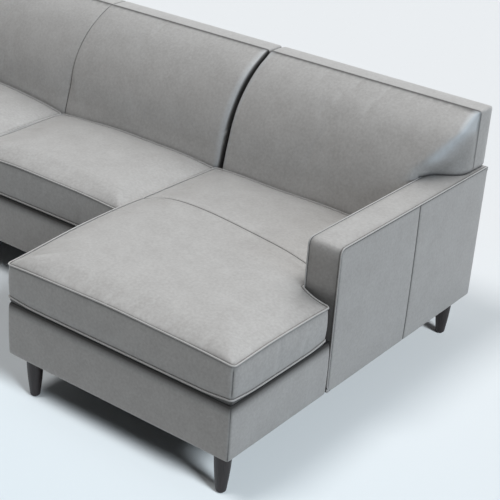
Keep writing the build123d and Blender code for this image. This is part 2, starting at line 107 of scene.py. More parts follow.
class SectionalSizes(bpy.types.PropertyGroup):
    """Soft sizes that the upholstery adds to the frame."""

    crown: FloatProperty(
        name="Seat crown", description="How far a seat cushion domes above its welt",
        default=0.028, min=0.0, max=0.06, unit="LENGTH")
    welt_bow: FloatProperty(
        name="Welt bow", description="How far the top welt rises between a cushion's corners",
        default=0.011, min=0.0, max=0.03, unit="LENGTH")
    corner_lift: FloatProperty(
        name="Corner lift", description="How far a cushion's lower corners curl up off the deck",
        default=0.008, min=0.0, max=0.03, unit="LENGTH")
    edge_lift: FloatProperty(
        name="Edge lift", description="How far the lower welt rides above the base",
        default=0.009, min=0.0, max=0.02, unit="LENGTH")
    welt_radius: FloatProperty(
        name="Welt radius", description="Radius of the leather piping",
        default=0.0026, min=0.001, max=0.01, unit="LENGTH")
    cell: FloatProperty(
        name="Mesh cell", description="Spacing of the upholstery mesh before subdivision",
        default=0.012, min=0.006, max=0.04, unit="LENGTH")
    stitch_pitch: FloatProperty(
        name="Stitch pitch", description="Distance from one stitch to the next",
        default=0.006, min=0.003, max=0.02, unit="LENGTH")
    cloth_pressure: FloatProperty(
        name="Cloth pressure", description="Inner pressure while the covers are inflated",
        default=4.0, min=0.0, max=20.0)
    cloth_frames: IntProperty(
        name="Cloth frames", description="Steps of the inflation",
        default=20, min=2, max=60, subtype="TIME")


class SectionalColours(bpy.types.PropertyGroup):
    """Finishes, as sRGB hex values."""

    leather: StringProperty(name="Leather", description="Main tone of the leather", default="#BEBDBB")
    leather_dark: StringProperty(
        name="Leather shade", description="Darker clouds in the leather", default="#ACAAA8")
    # Painted shade: the near-black that folds, seams, gaps and hollows are mixed towards, where shade falls
    seam: StringProperty(name="Seam", description="Tone in the folds of the seams", default="#120F0E")
    leg: StringProperty(name="Leg stain", description="Espresso stain of the legs", default="#2C2324")
    leg_grain: StringProperty(name="Leg grain", description="Darker grain in the legs", default="#181213")
    floor: StringProperty(name="Floor", description="Pale studio floor", default="#E7E8EA")
    thread: StringProperty(name="Thread", description="Thread of the seams", default="#77756F")
    # Painted highlight: the pale, cool tone that ridges and edges of the hide are mixed towards
    painted_highlight: StringProperty(
        name="Painted highlight", description="Tone where the hide is stretched", default="#DCE4EA")


def sizes():
    """The sizes that the panel shows."""
    return bpy.context.scene.sectional_sizes


def colours():
    """The colours that the panel shows."""
    return bpy.context.scene.sectional_colours


# Small helpers


def linear(hex_colour, alpha=1.0):
    """An sRGB hex value as the linear colour that shaders use."""
    parts = [int(hex_colour[i:i + 2], 16) / 255 for i in (1, 3, 5)]
    return [p / 12.92 if p <= 0.04045 else ((p + 0.055) / 1.055) ** 2.4 for p in parts] + [alpha]


def smooth_step(value, low, high):
    """0 below low, 1 above high, with a soft S between them."""
    t = np.clip((value - low) / (high - low), 0.0, 1.0)
    return t * t * (3 - 2 * t)


def bump_at(value, centre, width):
    """A bell of height 1 round a centre."""
    return np.exp(-(((value - centre) / width) ** 2))


def same_place(first, second):
    """Whether two places along an axis are the same but for rounding."""
    return abs(first - second) < MM


def soft_min(first, second, blend):
    """The smaller of two heights, with the corner between them rounded over the blend length."""
    share = np.clip(0.5 + 0.5 * (second - first) / blend, 0.0, 1.0)
    return second * (1 - share) + first * share - blend * share * (1 - share)


def ripple(co, length, seed):
    """A smooth uneven field between about -1 and 1, from a few fixed waves of the given length."""
    rng = np.random.default_rng(seed)
    field = np.zeros(len(co))
    waves = 7
    for _ in range(waves):
        direction = rng.normal(size=3)
        direction /= np.linalg.norm(direction)
        stretch = rng.uniform(0.6, 1.5)
        field += np.sin(co @ direction * (2 * math.pi / (length * stretch)) + rng.uniform(0, 2 * math.pi))
    return field / math.sqrt(waves)


# Padded blocks: one closed quad mesh from an outline and an axis


# Mesh lines on each side of a seam
SEAM_STEPS = (0.0, 0.0022, 0.006, 0.013)


def grid_lines(stops, cell, edge_steps, seams):
    """Ascending lines that hit every stop, about a cell apart, closer by the stops and the seams."""
    # A panel narrower than this many steps goes without that step
    least_room = 2.5
    stops = sorted(set(round(float(s), 6) for s in stops))
    fixed = set(stops)
    for low, high in zip(stops, stops[1:]):
        for step in edge_steps:
            if step * least_room < high - low:
                fixed.add(round(low + step, 6))
                fixed.add(round(high - step, 6))
    for seam in seams:
        for step in SEAM_STEPS:
            fixed.add(round(seam - step, 6))
            fixed.add(round(seam + step, 6))
    fixed = sorted(fixed)
    lines = []
    for low, high in zip(fixed, fixed[1:]):
        count = max(1, round((high - low) / cell))
        lines += [low + (high - low) * k / count for k in range(count)]
    return np.array(lines + [fixed[-1]])


def anticlockwise(corners):
    """The outline's corners in anticlockwise order."""
    area = sum(a[0] * b[1] - b[0] * a[1] for a, b in zip(corners, corners[1:] + corners[:1]))
    return corners if area > 0 else corners[::-1]


def point_in_outline(a, b, corners):
    """Whether points lie inside a square-cornered outline."""
    inside = np.zeros(np.broadcast(a, b).shape, bool)
    for (a0, b0), (a1, b1) in zip(corners, corners[1:] + corners[:1]):
        if b0 == b1:
            continue
        crosses = (b > min(b0, b1)) & (b < max(b0, b1)) & (a < a0)
        inside ^= crosses
    return inside


def corner_turn(before, corner, after):
    """Positive where an anticlockwise outline bulges outward."""
    return (corner[0] - before[0]) * (after[1] - corner[1]) - (corner[1] - before[1]) * (after[0] - corner[0])


def outer_corners(corners):
    """Each corner where an outline bulges outward, with the way from it to the inside."""
    for index, corner in enumerate(corners):
        before, after = corners[index - 1], corners[(index + 1) % len(corners)]
        if corner_turn(before, corner, after) > 0:
            yield np.array(corner), np.sign(np.array(before) + np.array(after) - 2 * np.array(corner))


def padded_block(corners, radius, levels, order, cell, edge_steps, seams_a=(), seams_b=()):
    """A block with rounded upright corners, as arrays.

    corners is the outline in the plane (a, b). levels run along the axis w as (w, inset) from the lower
    cap to the upper one. order names the axes that a, b and w lie along, and a fourth entry turns w round.
    radius is one length, or a function that gives each corner its own. edge_steps are the distances of the
    mesh lines next to an edge.
    """
    corners = anticlockwise([(float(a), float(b)) for a, b in corners])
    lines_a = grid_lines([c[0] for c in corners], cell, edge_steps, seams_a)
    lines_b = grid_lines([c[1] for c in corners], cell, edge_steps, seams_b)
    mid_a = (lines_a[1:] + lines_a[:-1]) / 2
    mid_b = (lines_b[1:] + lines_b[:-1]) / 2
    cells = point_in_outline(mid_a[:, None], mid_b[None, :], corners)
    used = np.zeros((len(lines_a), len(lines_b)), bool)
    for di in (0, 1):
        for dj in (0, 1):
            used[di:di + cells.shape[0], dj:dj + cells.shape[1]] |= cells

    loop, side_share, side_index = [], [], []
    for index, (start, end) in enumerate(zip(corners, corners[1:] + corners[:1])):
        i0, i1 = (int(np.argmin(abs(lines_a - p[0]))) for p in (start, end))
        j0, j1 = (int(np.argmin(abs(lines_b - p[1]))) for p in (start, end))
        count = abs(i1 - i0) + abs(j1 - j0)
        length = abs(end[0] - start[0]) + abs(end[1] - start[1])
        for k in range(count):
            i = i0 + int(np.sign(i1 - i0)) * k
            j = j0 + int(np.sign(j1 - j0)) * k
            loop.append((i, j))
            side_share.append((abs(lines_a[i] - start[0]) + abs(lines_b[j] - start[1])) / length)
            side_index.append(index)
    loop = np.array(loop)

    flat = np.stack(np.meshgrid(lines_a, lines_b, indexing="ij"), axis=-1)
    for corner, towards in outer_corners(corners):
        turn = radius(corner) if callable(radius) else radius
        centre = corner + towards * turn
        out = (flat - centre) * -towards / turn
        near = (out[..., 0] > 0) & (out[..., 1] > 0) & (out[..., 0] <= 1.0001) & (out[..., 1] <= 1.0001)
        u, v = out[..., 0].clip(0, 1), out[..., 1].clip(0, 1)
        round_out = np.stack([u * np.sqrt(1 - v * v / 2), v * np.sqrt(1 - u * u / 2)], axis=-1)
        flat[near] = (centre - towards * turn * round_out)[near]

    ring = flat[loop[:, 0], loop[:, 1]]
    travel = np.roll(ring, -1, axis=0) - np.roll(ring, 1, axis=0)
    travel /= np.linalg.norm(travel, axis=1)[:, None]
    outward = np.stack([travel[:, 1], -travel[:, 0]], axis=1)

    on_ring = np.zeros_like(used)
    on_ring[loop[:, 0], loop[:, 1]] = True
    inside = used & ~on_ring
    inner = np.argwhere(inside)
    inner_flat = flat[inner[:, 0], inner[:, 1]]
    gaps = np.linalg.norm(inner_flat[:, None, :] - ring[None, :, :], axis=2)
    nearest = gaps.argmin(axis=1)
    gap = gaps[np.arange(len(inner)), nearest]

    # A cap follows its edge's inset and lets go of it over this distance
    cap_fade = 0.06
    points, rings = [], []
    total = 0
    for w, inset in levels:
        level_points = np.column_stack([ring - outward * inset, np.full(len(ring), w)])
        rings.append(np.arange(total, total + len(ring)))
        points.append(level_points)
        total += len(ring)
    caps = []
    for level, cap_ring in ((levels[0], rings[0]), (levels[-1], rings[-1])):
        fade = np.clip(1 - gap / cap_fade, 0, 1)[:, None]
        moved = inner_flat - outward[nearest] * level[1] * fade
        points.append(np.column_stack([moved, np.full(len(inner), level[0])]))
        ids = np.full(used.shape, -1)
        ids[inner[:, 0], inner[:, 1]] = np.arange(total, total + len(inner))
        ids[loop[:, 0], loop[:, 1]] = cap_ring
        total += len(inner)
        caps.append(ids)
    local = np.concatenate(points)

    faces = []
    for lower, upper in zip(rings, rings[1:]):
        faces.append(np.column_stack([lower, np.roll(lower, -1), np.roll(upper, -1), upper]))
    i, j = np.nonzero(cells)
    for ids, reverse in ((caps[0], True), (caps[1], False)):
        quad = np.column_stack([ids[i, j], ids[i + 1, j], ids[i + 1, j + 1], ids[i, j + 1]])
        faces.append(quad[:, ::-1] if reverse else quad)

    co = np.zeros((total, 3))
    co[:, order[0]] = local[:, 0]
    co[:, order[1]] = local[:, 1]
    co[:, order[2]] = local[:, 2] * (-1 if len(order) > 3 else 1)
    cap_gap = np.zeros(used.shape)
    cap_gap[inner[:, 0], inner[:, 1]] = gap
    return SimpleNamespace(
        co=co, faces=np.concatenate(faces), rings=rings, caps=caps, lines=(lines_a, lines_b), cells=cells,
        inside=inside, used=used, share=np.array(side_share), side=np.array(side_index),
        gap=cap_gap, corners=corners, seam=np.zeros(total), stretch=np.zeros(total),
    )


TURNED = {"up": (X, Y, Z), "across": (Y, Z, X), "back": (Z, X, Y), "forward": (X, Z, Y, -1)}

# The fold beside a welt: deep up to the first distance, shallow at the second, gone at the third
EDGE_NEAR = 0.0036
EDGE_FAR = 0.0064
EDGE_END = 0.012
SHALLOW = 0.15
# Mesh lines next to a panel's edge
EDGE_STEPS = (EDGE_NEAR, EDGE_FAR, 0.014)
# How much wider the mesh cells of the plain panels are
PLAIN_PANEL = 1.4


def welt_fold(gap):
    """How deep the leather is drawn in at a distance from a welt, 1 at most."""
    return np.interp(gap, (EDGE_NEAR, EDGE_FAR, EDGE_END), (1, SHALLOW, 0))


def on_cap(block, cap):
    """The points on one cap of a block, with its edge."""
    mask = np.zeros(len(block.co), bool)
    mask[block.caps[cap][block.used]] = True
    return mask


def on_rings(block, rings):
    """The points on some of a block's rings."""
    mask = np.zeros(len(block.co), bool)
    mask[np.concatenate(rings)] = True
    return mask


def membrane(block):
    """Shape of a cover held along the block's outline and blown up from below: 0 at the edge, 1 at most."""
    a, b = block.lines
    low_a, high_a = np.diff(a)[:-1][:, None], np.diff(a)[1:][:, None]
    low_b, high_b = np.diff(b)[:-1][None, :], np.diff(b)[1:][None, :]
    west = 2 / (low_a * (low_a + high_a))
    east = 2 / (high_a * (low_a + high_a))
    south = 2 / (low_b * (low_b + high_b))
    north = 2 / (high_b * (low_b + high_b))
    centre = west + east + south + north
    height = np.zeros(block.used.shape)
    core = block.inside[1:-1, 1:-1]
    # Over-relaxation on a chequerboard of points, with as many sweeps as the longest panel needs
    pull, sweeps = 1.85, 500
    colour = np.add.outer(np.arange(core.shape[0]), np.arange(core.shape[1])) % 2
    for _ in range(sweeps):
        for turn in (0, 1):
            around = (west * height[:-2, 1:-1] + east * height[2:, 1:-1]
                      + south * height[1:-1, :-2] + north * height[1:-1, 2:])
            target = (around + 1.0) / centre
            now = height[1:-1, 1:-1]
            mask = core & (colour == turn)
            now[mask] += pull * (target - now)[mask]
    return height / height.max()


def normals_of(co, faces):
    """Unit vertex normals of a quad mesh."""
    p = co[faces]
    face_normals = np.cross(p[:, 2] - p[:, 0], p[:, 3] - p[:, 1])
    normals = np.zeros_like(co)
    for k in range(4):
        np.add.at(normals, faces[:, k], face_normals)
    return normals / np.maximum(np.linalg.norm(normals, axis=1), 1e-12)[:, None]


def press_seam(block, distance, mask, depth=0.0022, width=0.005, mark=0.0021):
    """Pulls the surface in along a seam and paints shade into the fold, so that the leather is darker there.
    """
    fold = np.where(mask, bump_at(distance, 0, width), 0)
    block.co -= normals_of(block.co, block.faces) * (fold * depth)[:, None]
    block.seam = np.maximum(block.seam, np.where(mask, bump_at(distance, 0, mark), 0))


def sew_corners(block, radius, corners):
    """Upright seams where the leather turns the given corners, with painted shade in their folds."""
    walls = on_rings(block, block.rings[1:-1])
    for corner, towards in corners:
        turn = corner + towards * radius * (1 - math.sqrt(0.5))
        distance = np.hypot(block.co[:, X] - turn[0], block.co[:, Y] - turn[1])
        press_seam(block, distance, walls & (distance < 0.02), depth=0.0012, width=0.003)


def add_leather(name, block, body, nodes):
    """A leather piece that rides on a body and stands for CAD nodes.

    Its mesh carries the seam mark, which is painted shade, and the stretch mark, which is painted highlight,
    and has one live subdivision.
    """
    mesh = bpy.data.meshes.new(name)
    mesh.from_pydata(block.co.tolist(), [], block.faces.tolist())
    for mark in ("seam", "stretch"):
        attribute = mesh.attributes.new(mark, "FLOAT", "POINT")
        attribute.data.foreach_set("value", np.asarray(getattr(block, mark), np.float32))
    mesh.polygons.foreach_set("use_smooth", np.ones(len(mesh.polygons), bool))
    mesh.materials.append(bpy.data.materials["Satin cowhide"])
    mesh.update()
    piece = bpy.data.objects.new(name, mesh)
    bpy.context.scene.collection.objects.link(piece)
    finish = piece.modifiers.new("Smooth leather", "SUBSURF")
    finish.levels = finish.render_levels = 1
    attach(piece, body)
    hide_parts(*nodes)


def inflate(name, co, faces, held, cap, slack):
    """Blows a closed cover up as cloth and returns where its points come to rest.

    held is 1 where a point is fixed and 0 where it is free, cap the most that a point moves, and slack the
    share by which the cover is cut larger than the shape.
    """
    mesh = bpy.data.meshes.new(name)
    mesh.from_pydata(co.tolist(), [], faces.tolist())
    cover = bpy.data.objects.new(name, mesh)
    scene = bpy.context.scene
    scene.collection.objects.link(cover)
    group = cover.vertex_groups.new(name="held")
    weights = np.round(np.clip(held, 0, 1), 2)
    for weight in np.unique(weights):
        if weight > 0:
            group.add(np.nonzero(weights == weight)[0].tolist(), float(weight), "REPLACE")
    cloth = cover.modifiers.new("Cloth", "CLOTH")
    hide = cloth.settings
    hide.quality = 6
    hide.mass = 0.4
    hide.tension_stiffness = hide.compression_stiffness = 12.0
    hide.shear_stiffness = 6.0
    hide.bending_stiffness = 2.0
    hide.tension_damping = hide.compression_damping = 12
    hide.use_pressure = True
    hide.uniform_pressure_force = sizes().cloth_pressure
    hide.shrink_min = -slack
    hide.vertex_group_mass = "held"
    hide.effector_weights.gravity = 0
    cloth.collision_settings.use_collision = False
    frames = sizes().cloth_frames
    cloth.point_cache.frame_start, cloth.point_cache.frame_end = 1, frames
    first_frame = scene.frame_current
    for number in range(1, frames + 1):
        scene.frame_set(number)
    graph = bpy.context.evaluated_depsgraph_get()
    settled = cover.evaluated_get(graph).data
    result = np.zeros(len(co) * 3, np.float32)
    settled.vertices.foreach_get("co", result)
    result = result.reshape(-1, 3).astype(float)
    scene.frame_set(first_frame)
    bpy.data.objects.remove(cover)
    bpy.data.meshes.remove(mesh)
    if not np.isfinite(result).all():
        raise RuntimeError(f"the cloth of {name} did not settle")
    moved = result - co
    length = np.linalg.norm(moved, axis=1)
    limit = cap * np.tanh(length / cap) / np.maximum(length, 1e-9)
    return co + moved * limit[:, None]


# Nodes: one function that adds them, then the trees for piping and stitches


def set_node(tree, node, settings=None, links=None):
    """Sets a node's fields and sockets, and links sockets to other nodes' outputs."""
    for key, value in (settings or {}).items():
        if isinstance(key, str) and hasattr(node, key) and key not in node.inputs:
            setattr(node, key, value)
        else:
            node.inputs[key].default_value = value
    for key, source in (links or {}).items():
        tree.links.new(source, node.inputs[key])


def add_node(tree, kind, settings=None, links=None):
    """Adds one node with its settings and links."""
    node = tree.nodes.new(kind)
    set_node(tree, node, settings, links)
    return node


def start_tree(name, inputs):
    """A geometry tree that takes a path and the named inputs, with its input node and their identifiers."""
    tree = bpy.data.node_groups.new(name, "GeometryNodeTree")
    tree.interface.new_socket(name="Path", in_out="INPUT", socket_type="NodeSocketGeometry")
    tree.interface.new_socket(name=name, in_out="OUTPUT", socket_type="NodeSocketGeometry")
    ids = {}
    for label, (kind, default) in inputs.items():
        socket = tree.interface.new_socket(name=label, in_out="INPUT", socket_type=f"NodeSocket{kind}")
        if default is not None:
            socket.default_value = default
        ids[label] = socket.identifier
    return tree, add_node(tree, "NodeGroupInput"), ids


def end_tree(tree, geometry, material):
    """Makes the geometry real, gives it the material and hands it on as the tree's result."""
    real = add_node(tree, "GeometryNodeRealizeInstances", links={"Geometry": geometry})
    dress = add_node(tree, "GeometryNodeSetMaterial",
                     links={"Geometry": real.outputs["Geometry"], "Material": material})
    add_node(tree, "NodeGroupOutput", links={0: dress.outputs["Geometry"]})


def piping_tree():
    """Round piping along an edge path."""
    tree, source, ids = start_tree("Piping", {
        "Radius": ("Float", 0.0034), "Sides": ("Int", 10), "Step": ("Float", 0.007),
        "Leather": ("Material", None)})
    path = add_node(tree, "GeometryNodeMeshToCurve", links={"Mesh": source.outputs["Path"]})
    even = add_node(tree, "GeometryNodeResampleCurve", {"mode": "LENGTH"},
                    {"Curve": path.outputs["Curve"], "Length": source.outputs["Step"]})
    section = add_node(tree, "GeometryNodeCurvePrimitiveCircle",
                       links={"Resolution": source.outputs["Sides"], "Radius": source.outputs["Radius"]})
    tube = add_node(tree, "GeometryNodeCurveToMesh", {"Fill Caps": True},
                    {"Curve": even.outputs["Curve"], "Profile Curve": section.outputs["Curve"]})
    shade = add_node(tree, "GeometryNodeSetShadeSmooth", links={"Geometry": tube.outputs["Mesh"]})
    end_tree(tree, shade.outputs["Geometry"], source.outputs["Leather"])
    return tree, ids


def stitch_tree():
    """A row of short thread stitches along an edge path."""
    tree, source, ids = start_tree("Stitches", {
        "Pitch": ("Float", 0.006), "Length": ("Float", 0.0042), "Thickness": ("Float", 0.0005),
        "Thread": ("Material", None)})
    path = add_node(tree, "GeometryNodeMeshToCurve", links={"Mesh": source.outputs["Path"]})
    places = add_node(tree, "GeometryNodeCurveToPoints", {"mode": "LENGTH"},
                      {"Curve": path.outputs["Curve"], "Length": source.outputs["Pitch"]})
    thread = add_node(tree, "GeometryNodeMeshCylinder", {"Vertices": 6, "fill_type": "NGON"},
                      {"Radius": source.outputs["Thickness"], "Depth": source.outputs["Length"]})
    turn = add_node(tree, "FunctionNodeAlignRotationToVector", {"axis": "Z"},
                    {"Vector": places.outputs["Tangent"]})
    rows = add_node(tree, "GeometryNodeInstanceOnPoints",
                    links={"Points": places.outputs["Points"], "Instance": thread.outputs["Mesh"],
                           "Rotation": turn.outputs["Rotation"]})
    end_tree(tree, rows.outputs["Instances"], source.outputs["Thread"])
    return tree, ids


def follow_paths(name, paths, make_tree, inputs):
    """Runs a node tree along point paths, each one (points, closed), and keeps the result as a plain mesh."""
    points, edges = [], []
    for path, closed in paths:
        start = len(points)
        points += [tuple(p) for p in path]
        edges += [(start + k, start + k + 1) for k in range(len(path) - 1)]
        if closed:
            edges.append((start + len(path) - 1, start))
    mesh = bpy.data.meshes.new(name + "_path")
    mesh.from_pydata(points, edges, [])
    carrier = bpy.data.objects.new(name, mesh)
    bpy.context.scene.collection.objects.link(carrier)
    tree, ids = make_tree()
    modifier = carrier.modifiers.new(tree.name, "NODES")
    modifier.node_group = tree
    for label, value in inputs.items():
        modifier[ids[label]] = value
    graph = bpy.context.evaluated_depsgraph_get()
    result = bpy.data.meshes.new_from_object(carrier.evaluated_get(graph))
    carrier.modifiers.remove(modifier)
    carrier.data = result
    bpy.data.meshes.remove(mesh)
    result.name = name
    return carrier


def add_piping(name, paths, body, radius, nodes=()):
    """Piping that rides on a body and stands for the given CAD nodes."""
    inputs = {"Radius": radius, "Sides": 10, "Step": 0.006, "Leather": bpy.data.materials["Piped leather"]}
    piece = follow_paths(name, paths, piping_tree, inputs)
    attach(piece, body)
    if nodes:
        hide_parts(*nodes)


def add_stitches(name, path, body):
    """One row of stitches that rides on a body."""
    pitch = sizes().stitch_pitch
    inputs = {"Pitch": pitch, "Length": pitch * 0.7, "Thickness": 0.0005,
              "Thread": bpy.data.materials["Bonded nylon thread"]}
    piece = follow_paths(name, [(path, False)], stitch_tree, inputs)
    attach(piece, body)


# Materials

SHADER = "Principled BSDF"
# A Mix node's two colours and its result go by place, because its sockets for numbers have the same names
MIX_FIRST, MIX_SECOND, MIX_RESULT = 6, 7, 2


def new_material(name):
    """A material with its node tree and the Object coordinates that its patterns follow."""
    material = bpy.data.materials.new(name)
    material.use_nodes = True
    tree = material.node_tree
    return material, tree, add_node(tree, "ShaderNodeTexCoord").outputs["Object"]


def leather_material(name, tone, cloud, grain_strength):
    """Semi-aniline cowhide, drum-dyed and lightly pigmented: cloudy tone, fine pebble, satin top coat."""
    _, tree, place = new_material(name)
    # Clouds of dye about 70 mm across, and mottling about 9 mm across that counts for nearly twice as much
    clouds = add_node(tree, "ShaderNodeTexNoise", {"Scale": 1 / 0.07, "Detail": 3.0, "Roughness": 0.55},
                      {"Vector": place})
    mottle = add_node(tree, "ShaderNodeTexNoise", {"Scale": 1 / 0.009, "Detail": 3.0, "Roughness": 0.6},
                      {"Vector": place})
    both = add_node(tree, "ShaderNodeMath", {"operation": "MULTIPLY_ADD", 1: 1.9},
                    {0: mottle.outputs["Fac"], 2: clouds.outputs["Fac"]})
    spread = add_node(tree, "ShaderNodeMapRange", {"From Min": 1.03, "From Max": 1.87},
                      {"Value": both.outputs["Value"]})
    dye = add_node(tree, "ShaderNodeMix",
                   {"data_type": "RGBA", MIX_FIRST: linear(cloud), MIX_SECOND: linear(tone)},
                   {0: spread.outputs["Result"]})
    # The seam mark is painted shade: where it is set, the leather is mixed towards the near-black seam colour
    fold = add_node(tree, "ShaderNodeAttribute", {"attribute_name": "seam"})
    # Mostly painted highlight, in the cool tone of the light from the right, and partly the lighter tone of
    # hide drawn tight: along ridges and rolled edges the leather is mixed towards a pale, cool tone
    stretch = add_node(tree, "ShaderNodeAttribute", {"attribute_name": "stretch"})
    painted_highlight = add_node(tree, "ShaderNodeMix", {"data_type": "RGBA", MIX_SECOND: linear(colours().painted_highlight)},
                      {0: stretch.outputs["Fac"], MIX_FIRST: dye.outputs[MIX_RESULT]})
    deep = add_node(tree, "ShaderNodeMath", {"operation": "MULTIPLY", 1: 0.92}, {0: fold.outputs["Fac"]})
    skin = add_node(tree, "ShaderNodeMix", {"data_type": "RGBA", MIX_SECOND: linear(colours().seam)},
                    {0: deep.outputs["Value"], MIX_FIRST: painted_highlight.outputs[MIX_RESULT]})
    # The pebble of this hide is about 1 mm; it is drawn at 2.4 mm so that it shows at all
    pebble = add_node(tree, "ShaderNodeTexVoronoi",
                      {"feature": "SMOOTH_F1", "Scale": 1 / 0.0024, "Smoothness": 0.6}, {"Vector": place})
    crease = add_node(tree, "ShaderNodeTexNoise", {"Scale": 1 / 0.012, "Detail": 5.0, "Roughness": 0.65},
                      {"Vector": place})
    soft = add_node(tree, "ShaderNodeBump", {"Strength": 0.12, "Distance": 0.002},
                    {"Height": crease.outputs["Fac"]})
    fine = add_node(tree, "ShaderNodeBump", {"Strength": grain_strength, "Distance": 0.0006},
                    {"Height": pebble.outputs["Distance"], "Normal": soft.outputs["Normal"]})
    gloss = add_node(tree, "ShaderNodeMapRange",
                     {"From Min": 0.3, "From Max": 0.7, "To Min": 0.30, "To Max": 0.38},
                     {"Value": mottle.outputs["Fac"]})
    # A fold is never polished, so it stays matt
    matt = add_node(tree, "ShaderNodeMath", {"operation": "MAXIMUM"},
                    {0: gloss.outputs["Result"], 1: deep.outputs["Value"]})
    set_node(tree, tree.nodes[SHADER],
             {"IOR": 1.48, "Specular IOR Level": 0.6, "Coat Weight": 0.2, "Coat Roughness": 0.3,
              "Sheen Weight": 0.06, "Sheen Roughness": 0.5},
             {"Base Color": skin.outputs[MIX_RESULT], "Roughness": matt.outputs["Value"],
              "Normal": fine.outputs["Normal"]})


def wood_material(name, tone, grain, ring_mm, roughness, coat):
    """Turned or sawn timber, stained or raw: long fibres and open pores."""
    _, tree, place = new_material(name)
    # Fibres run along Z, so the pattern is stretched twelve times that way
    along = add_node(tree, "ShaderNodeMapping", {"Scale": (1, 1, 1 / 12)}, {"Vector": place})
    rings = add_node(tree, "ShaderNodeTexNoise", {"Scale": 1000 / ring_mm, "Detail": 6.0, "Roughness": 0.6},
                     {"Vector": along.outputs["Vector"]})
    spread = add_node(tree, "ShaderNodeMapRange", {"From Min": 0.35, "From Max": 0.65},
                      {"Value": rings.outputs["Fac"]})
    stain = add_node(tree, "ShaderNodeMix",
                     {"data_type": "RGBA", MIX_FIRST: linear(grain), MIX_SECOND: linear(tone)},
                     {0: spread.outputs["Result"]})
    pores = add_node(tree, "ShaderNodeBump", {"Strength": 0.15, "Distance": 0.0005},
                     {"Height": rings.outputs["Fac"]})
    set_node(tree, tree.nodes[SHADER],
             {"Roughness": roughness, "Coat Weight": coat, "Coat Roughness": 0.25},
             {"Base Color": stain.outputs[MIX_RESULT], "Normal": pores.outputs["Normal"]})


def plain_material(name, tone, shade, patch_mm, roughness, metallic=0.0, bump=0.1):
    """A tone with darker patches: foam, board, thread, and moulded, plated or coated pieces."""
    _, tree, place = new_material(name)
    patches = add_node(tree, "ShaderNodeTexNoise", {"Scale": 1000 / patch_mm, "Detail": 4.0},
                       {"Vector": place})
    mixed = add_node(tree, "ShaderNodeMix",
                     {"data_type": "RGBA", MIX_FIRST: linear(shade), MIX_SECOND: linear(tone)},
                     {0: patches.outputs["Fac"]})
    rough = add_node(tree, "ShaderNodeBump", {"Strength": bump, "Distance": 0.0005},
                     {"Height": patches.outputs["Fac"]})
    set_node(tree, tree.nodes[SHADER], {"Roughness": roughness, "Metallic": metallic},
             {"Base Color": mixed.outputs[MIX_RESULT], "Normal": rough.outputs["Normal"]})


def weave_material(name, warp, weft, thread_mm, roughness):
    """Woven straps and non-woven bottom cloth: two crossing sets of threads."""
    _, tree, place = new_material(name)
    bands = []
    for direction in ("X", "Z"):
        bands.append(add_node(
            tree, "ShaderNodeTexWave",
            {"bands_direction": direction, "Scale": 100 / thread_mm, "Distortion": 1.0}, {"Vector": place}))
    cross = add_node(tree, "ShaderNodeMath", {"operation": "MULTIPLY"},
                     {0: bands[0].outputs["Fac"], 1: bands[1].outputs["Fac"]})
    mixed = add_node(tree, "ShaderNodeMix",
                     {"data_type": "RGBA", MIX_FIRST: linear(weft), MIX_SECOND: linear(warp)},
                     {0: cross.outputs["Value"]})
    relief = add_node(tree, "ShaderNodeBump", {"Strength": 0.3, "Distance": 0.0006},
                      {"Height": cross.outputs["Value"]})
    set_node(tree, tree.nodes[SHADER], {"Roughness": roughness},
             {"Base Color": mixed.outputs[MIX_RESULT], "Normal": relief.outputs["Normal"]})


def shows_background(tree):
    """1 for a ray that shows the background: the camera's own, or a mirrored or transmitted one."""
    path = add_node(tree, "ShaderNodeLightPath")
    shown = path.outputs["Is Camera Ray"]
    for kind in ("Is Glossy Ray", "Is Transmission Ray"):
        shown = add_node(tree, "ShaderNodeMath", {"operation": "MAXIMUM"},
                         {0: shown, 1: path.outputs[kind]}).outputs["Value"]
    return shown


def make_materials():
    """Every finish on the sofa, each one named for the real material."""
    tone = colours()
    leather_material("Satin cowhide", tone.leather, tone.leather_dark, 0.07)
    # The piping's hide is a shade lighter than the rest: a painted highlight on the welts
    leather_material("Piped leather", "#C1C0BF", tone.leather, 0.05)
    wood_material("Espresso stained beech", tone.leg, tone.leg_grain, 5.0, 0.5, 0.05)
    wood_material("Sawn poplar", "#C8AE86", "#A98A5E", 14.0, 0.75, 0.0)
    plain_material("Deck cloth on board", "#2E2E2F", "#1E1E1F", 3.0, 0.9)
    plain_material("Black nylon glide", "#151515", "#0B0B0B", 6.0, 0.5)
    plain_material("Zinc plated steel", "#C9CBCD", "#9EA1A4", 12.0, 0.35, metallic=1.0)
    plain_material("Powder coated steel", "#1B1B1C", "#121213", 1.5, 0.5, bump=0.25)
    plain_material("Cold cure foam", "#E8E0C4", "#D8CCA6", 2.0, 0.95, bump=0.4)
    weave_material("Jute webbing", "#A88F66", "#7C6644", 2.5, 0.9)
    weave_material("Black bottom cloth", "#202021", "#141415", 1.6, 0.95)
    plain_material("Bonded nylon thread", tone.thread, "#5F5D58", 1.0, 0.6)


SLOT_FINISHES = {
    "timber": "Sawn poplar",
    "deck_board": "Deck cloth on board",
    "leg_wood": "Espresso stained beech",
    "glide_plastic": "Black nylon glide",
    "steel": "Zinc plated steel",
    "black_steel": "Powder coated steel",
    "webbing": "Jute webbing",
    "black_fabric": "Black bottom cloth",
    "foam": "Cold cure foam",
    "leather_cushions": "Satin cowhide",
    "leather_back": "Satin cowhide",
    "leather_panels": "Satin cowhide",
    "leather_welts": "Piped leather",
}


# The backdrop, the floor in front of the sofa, and the floor where it throws light back up
BACKDROP = "#EAEDEF"
FLOOR_IN_FRONT = "#DFE8EE"
FLOOR_BOUNCE = "#7D7976"
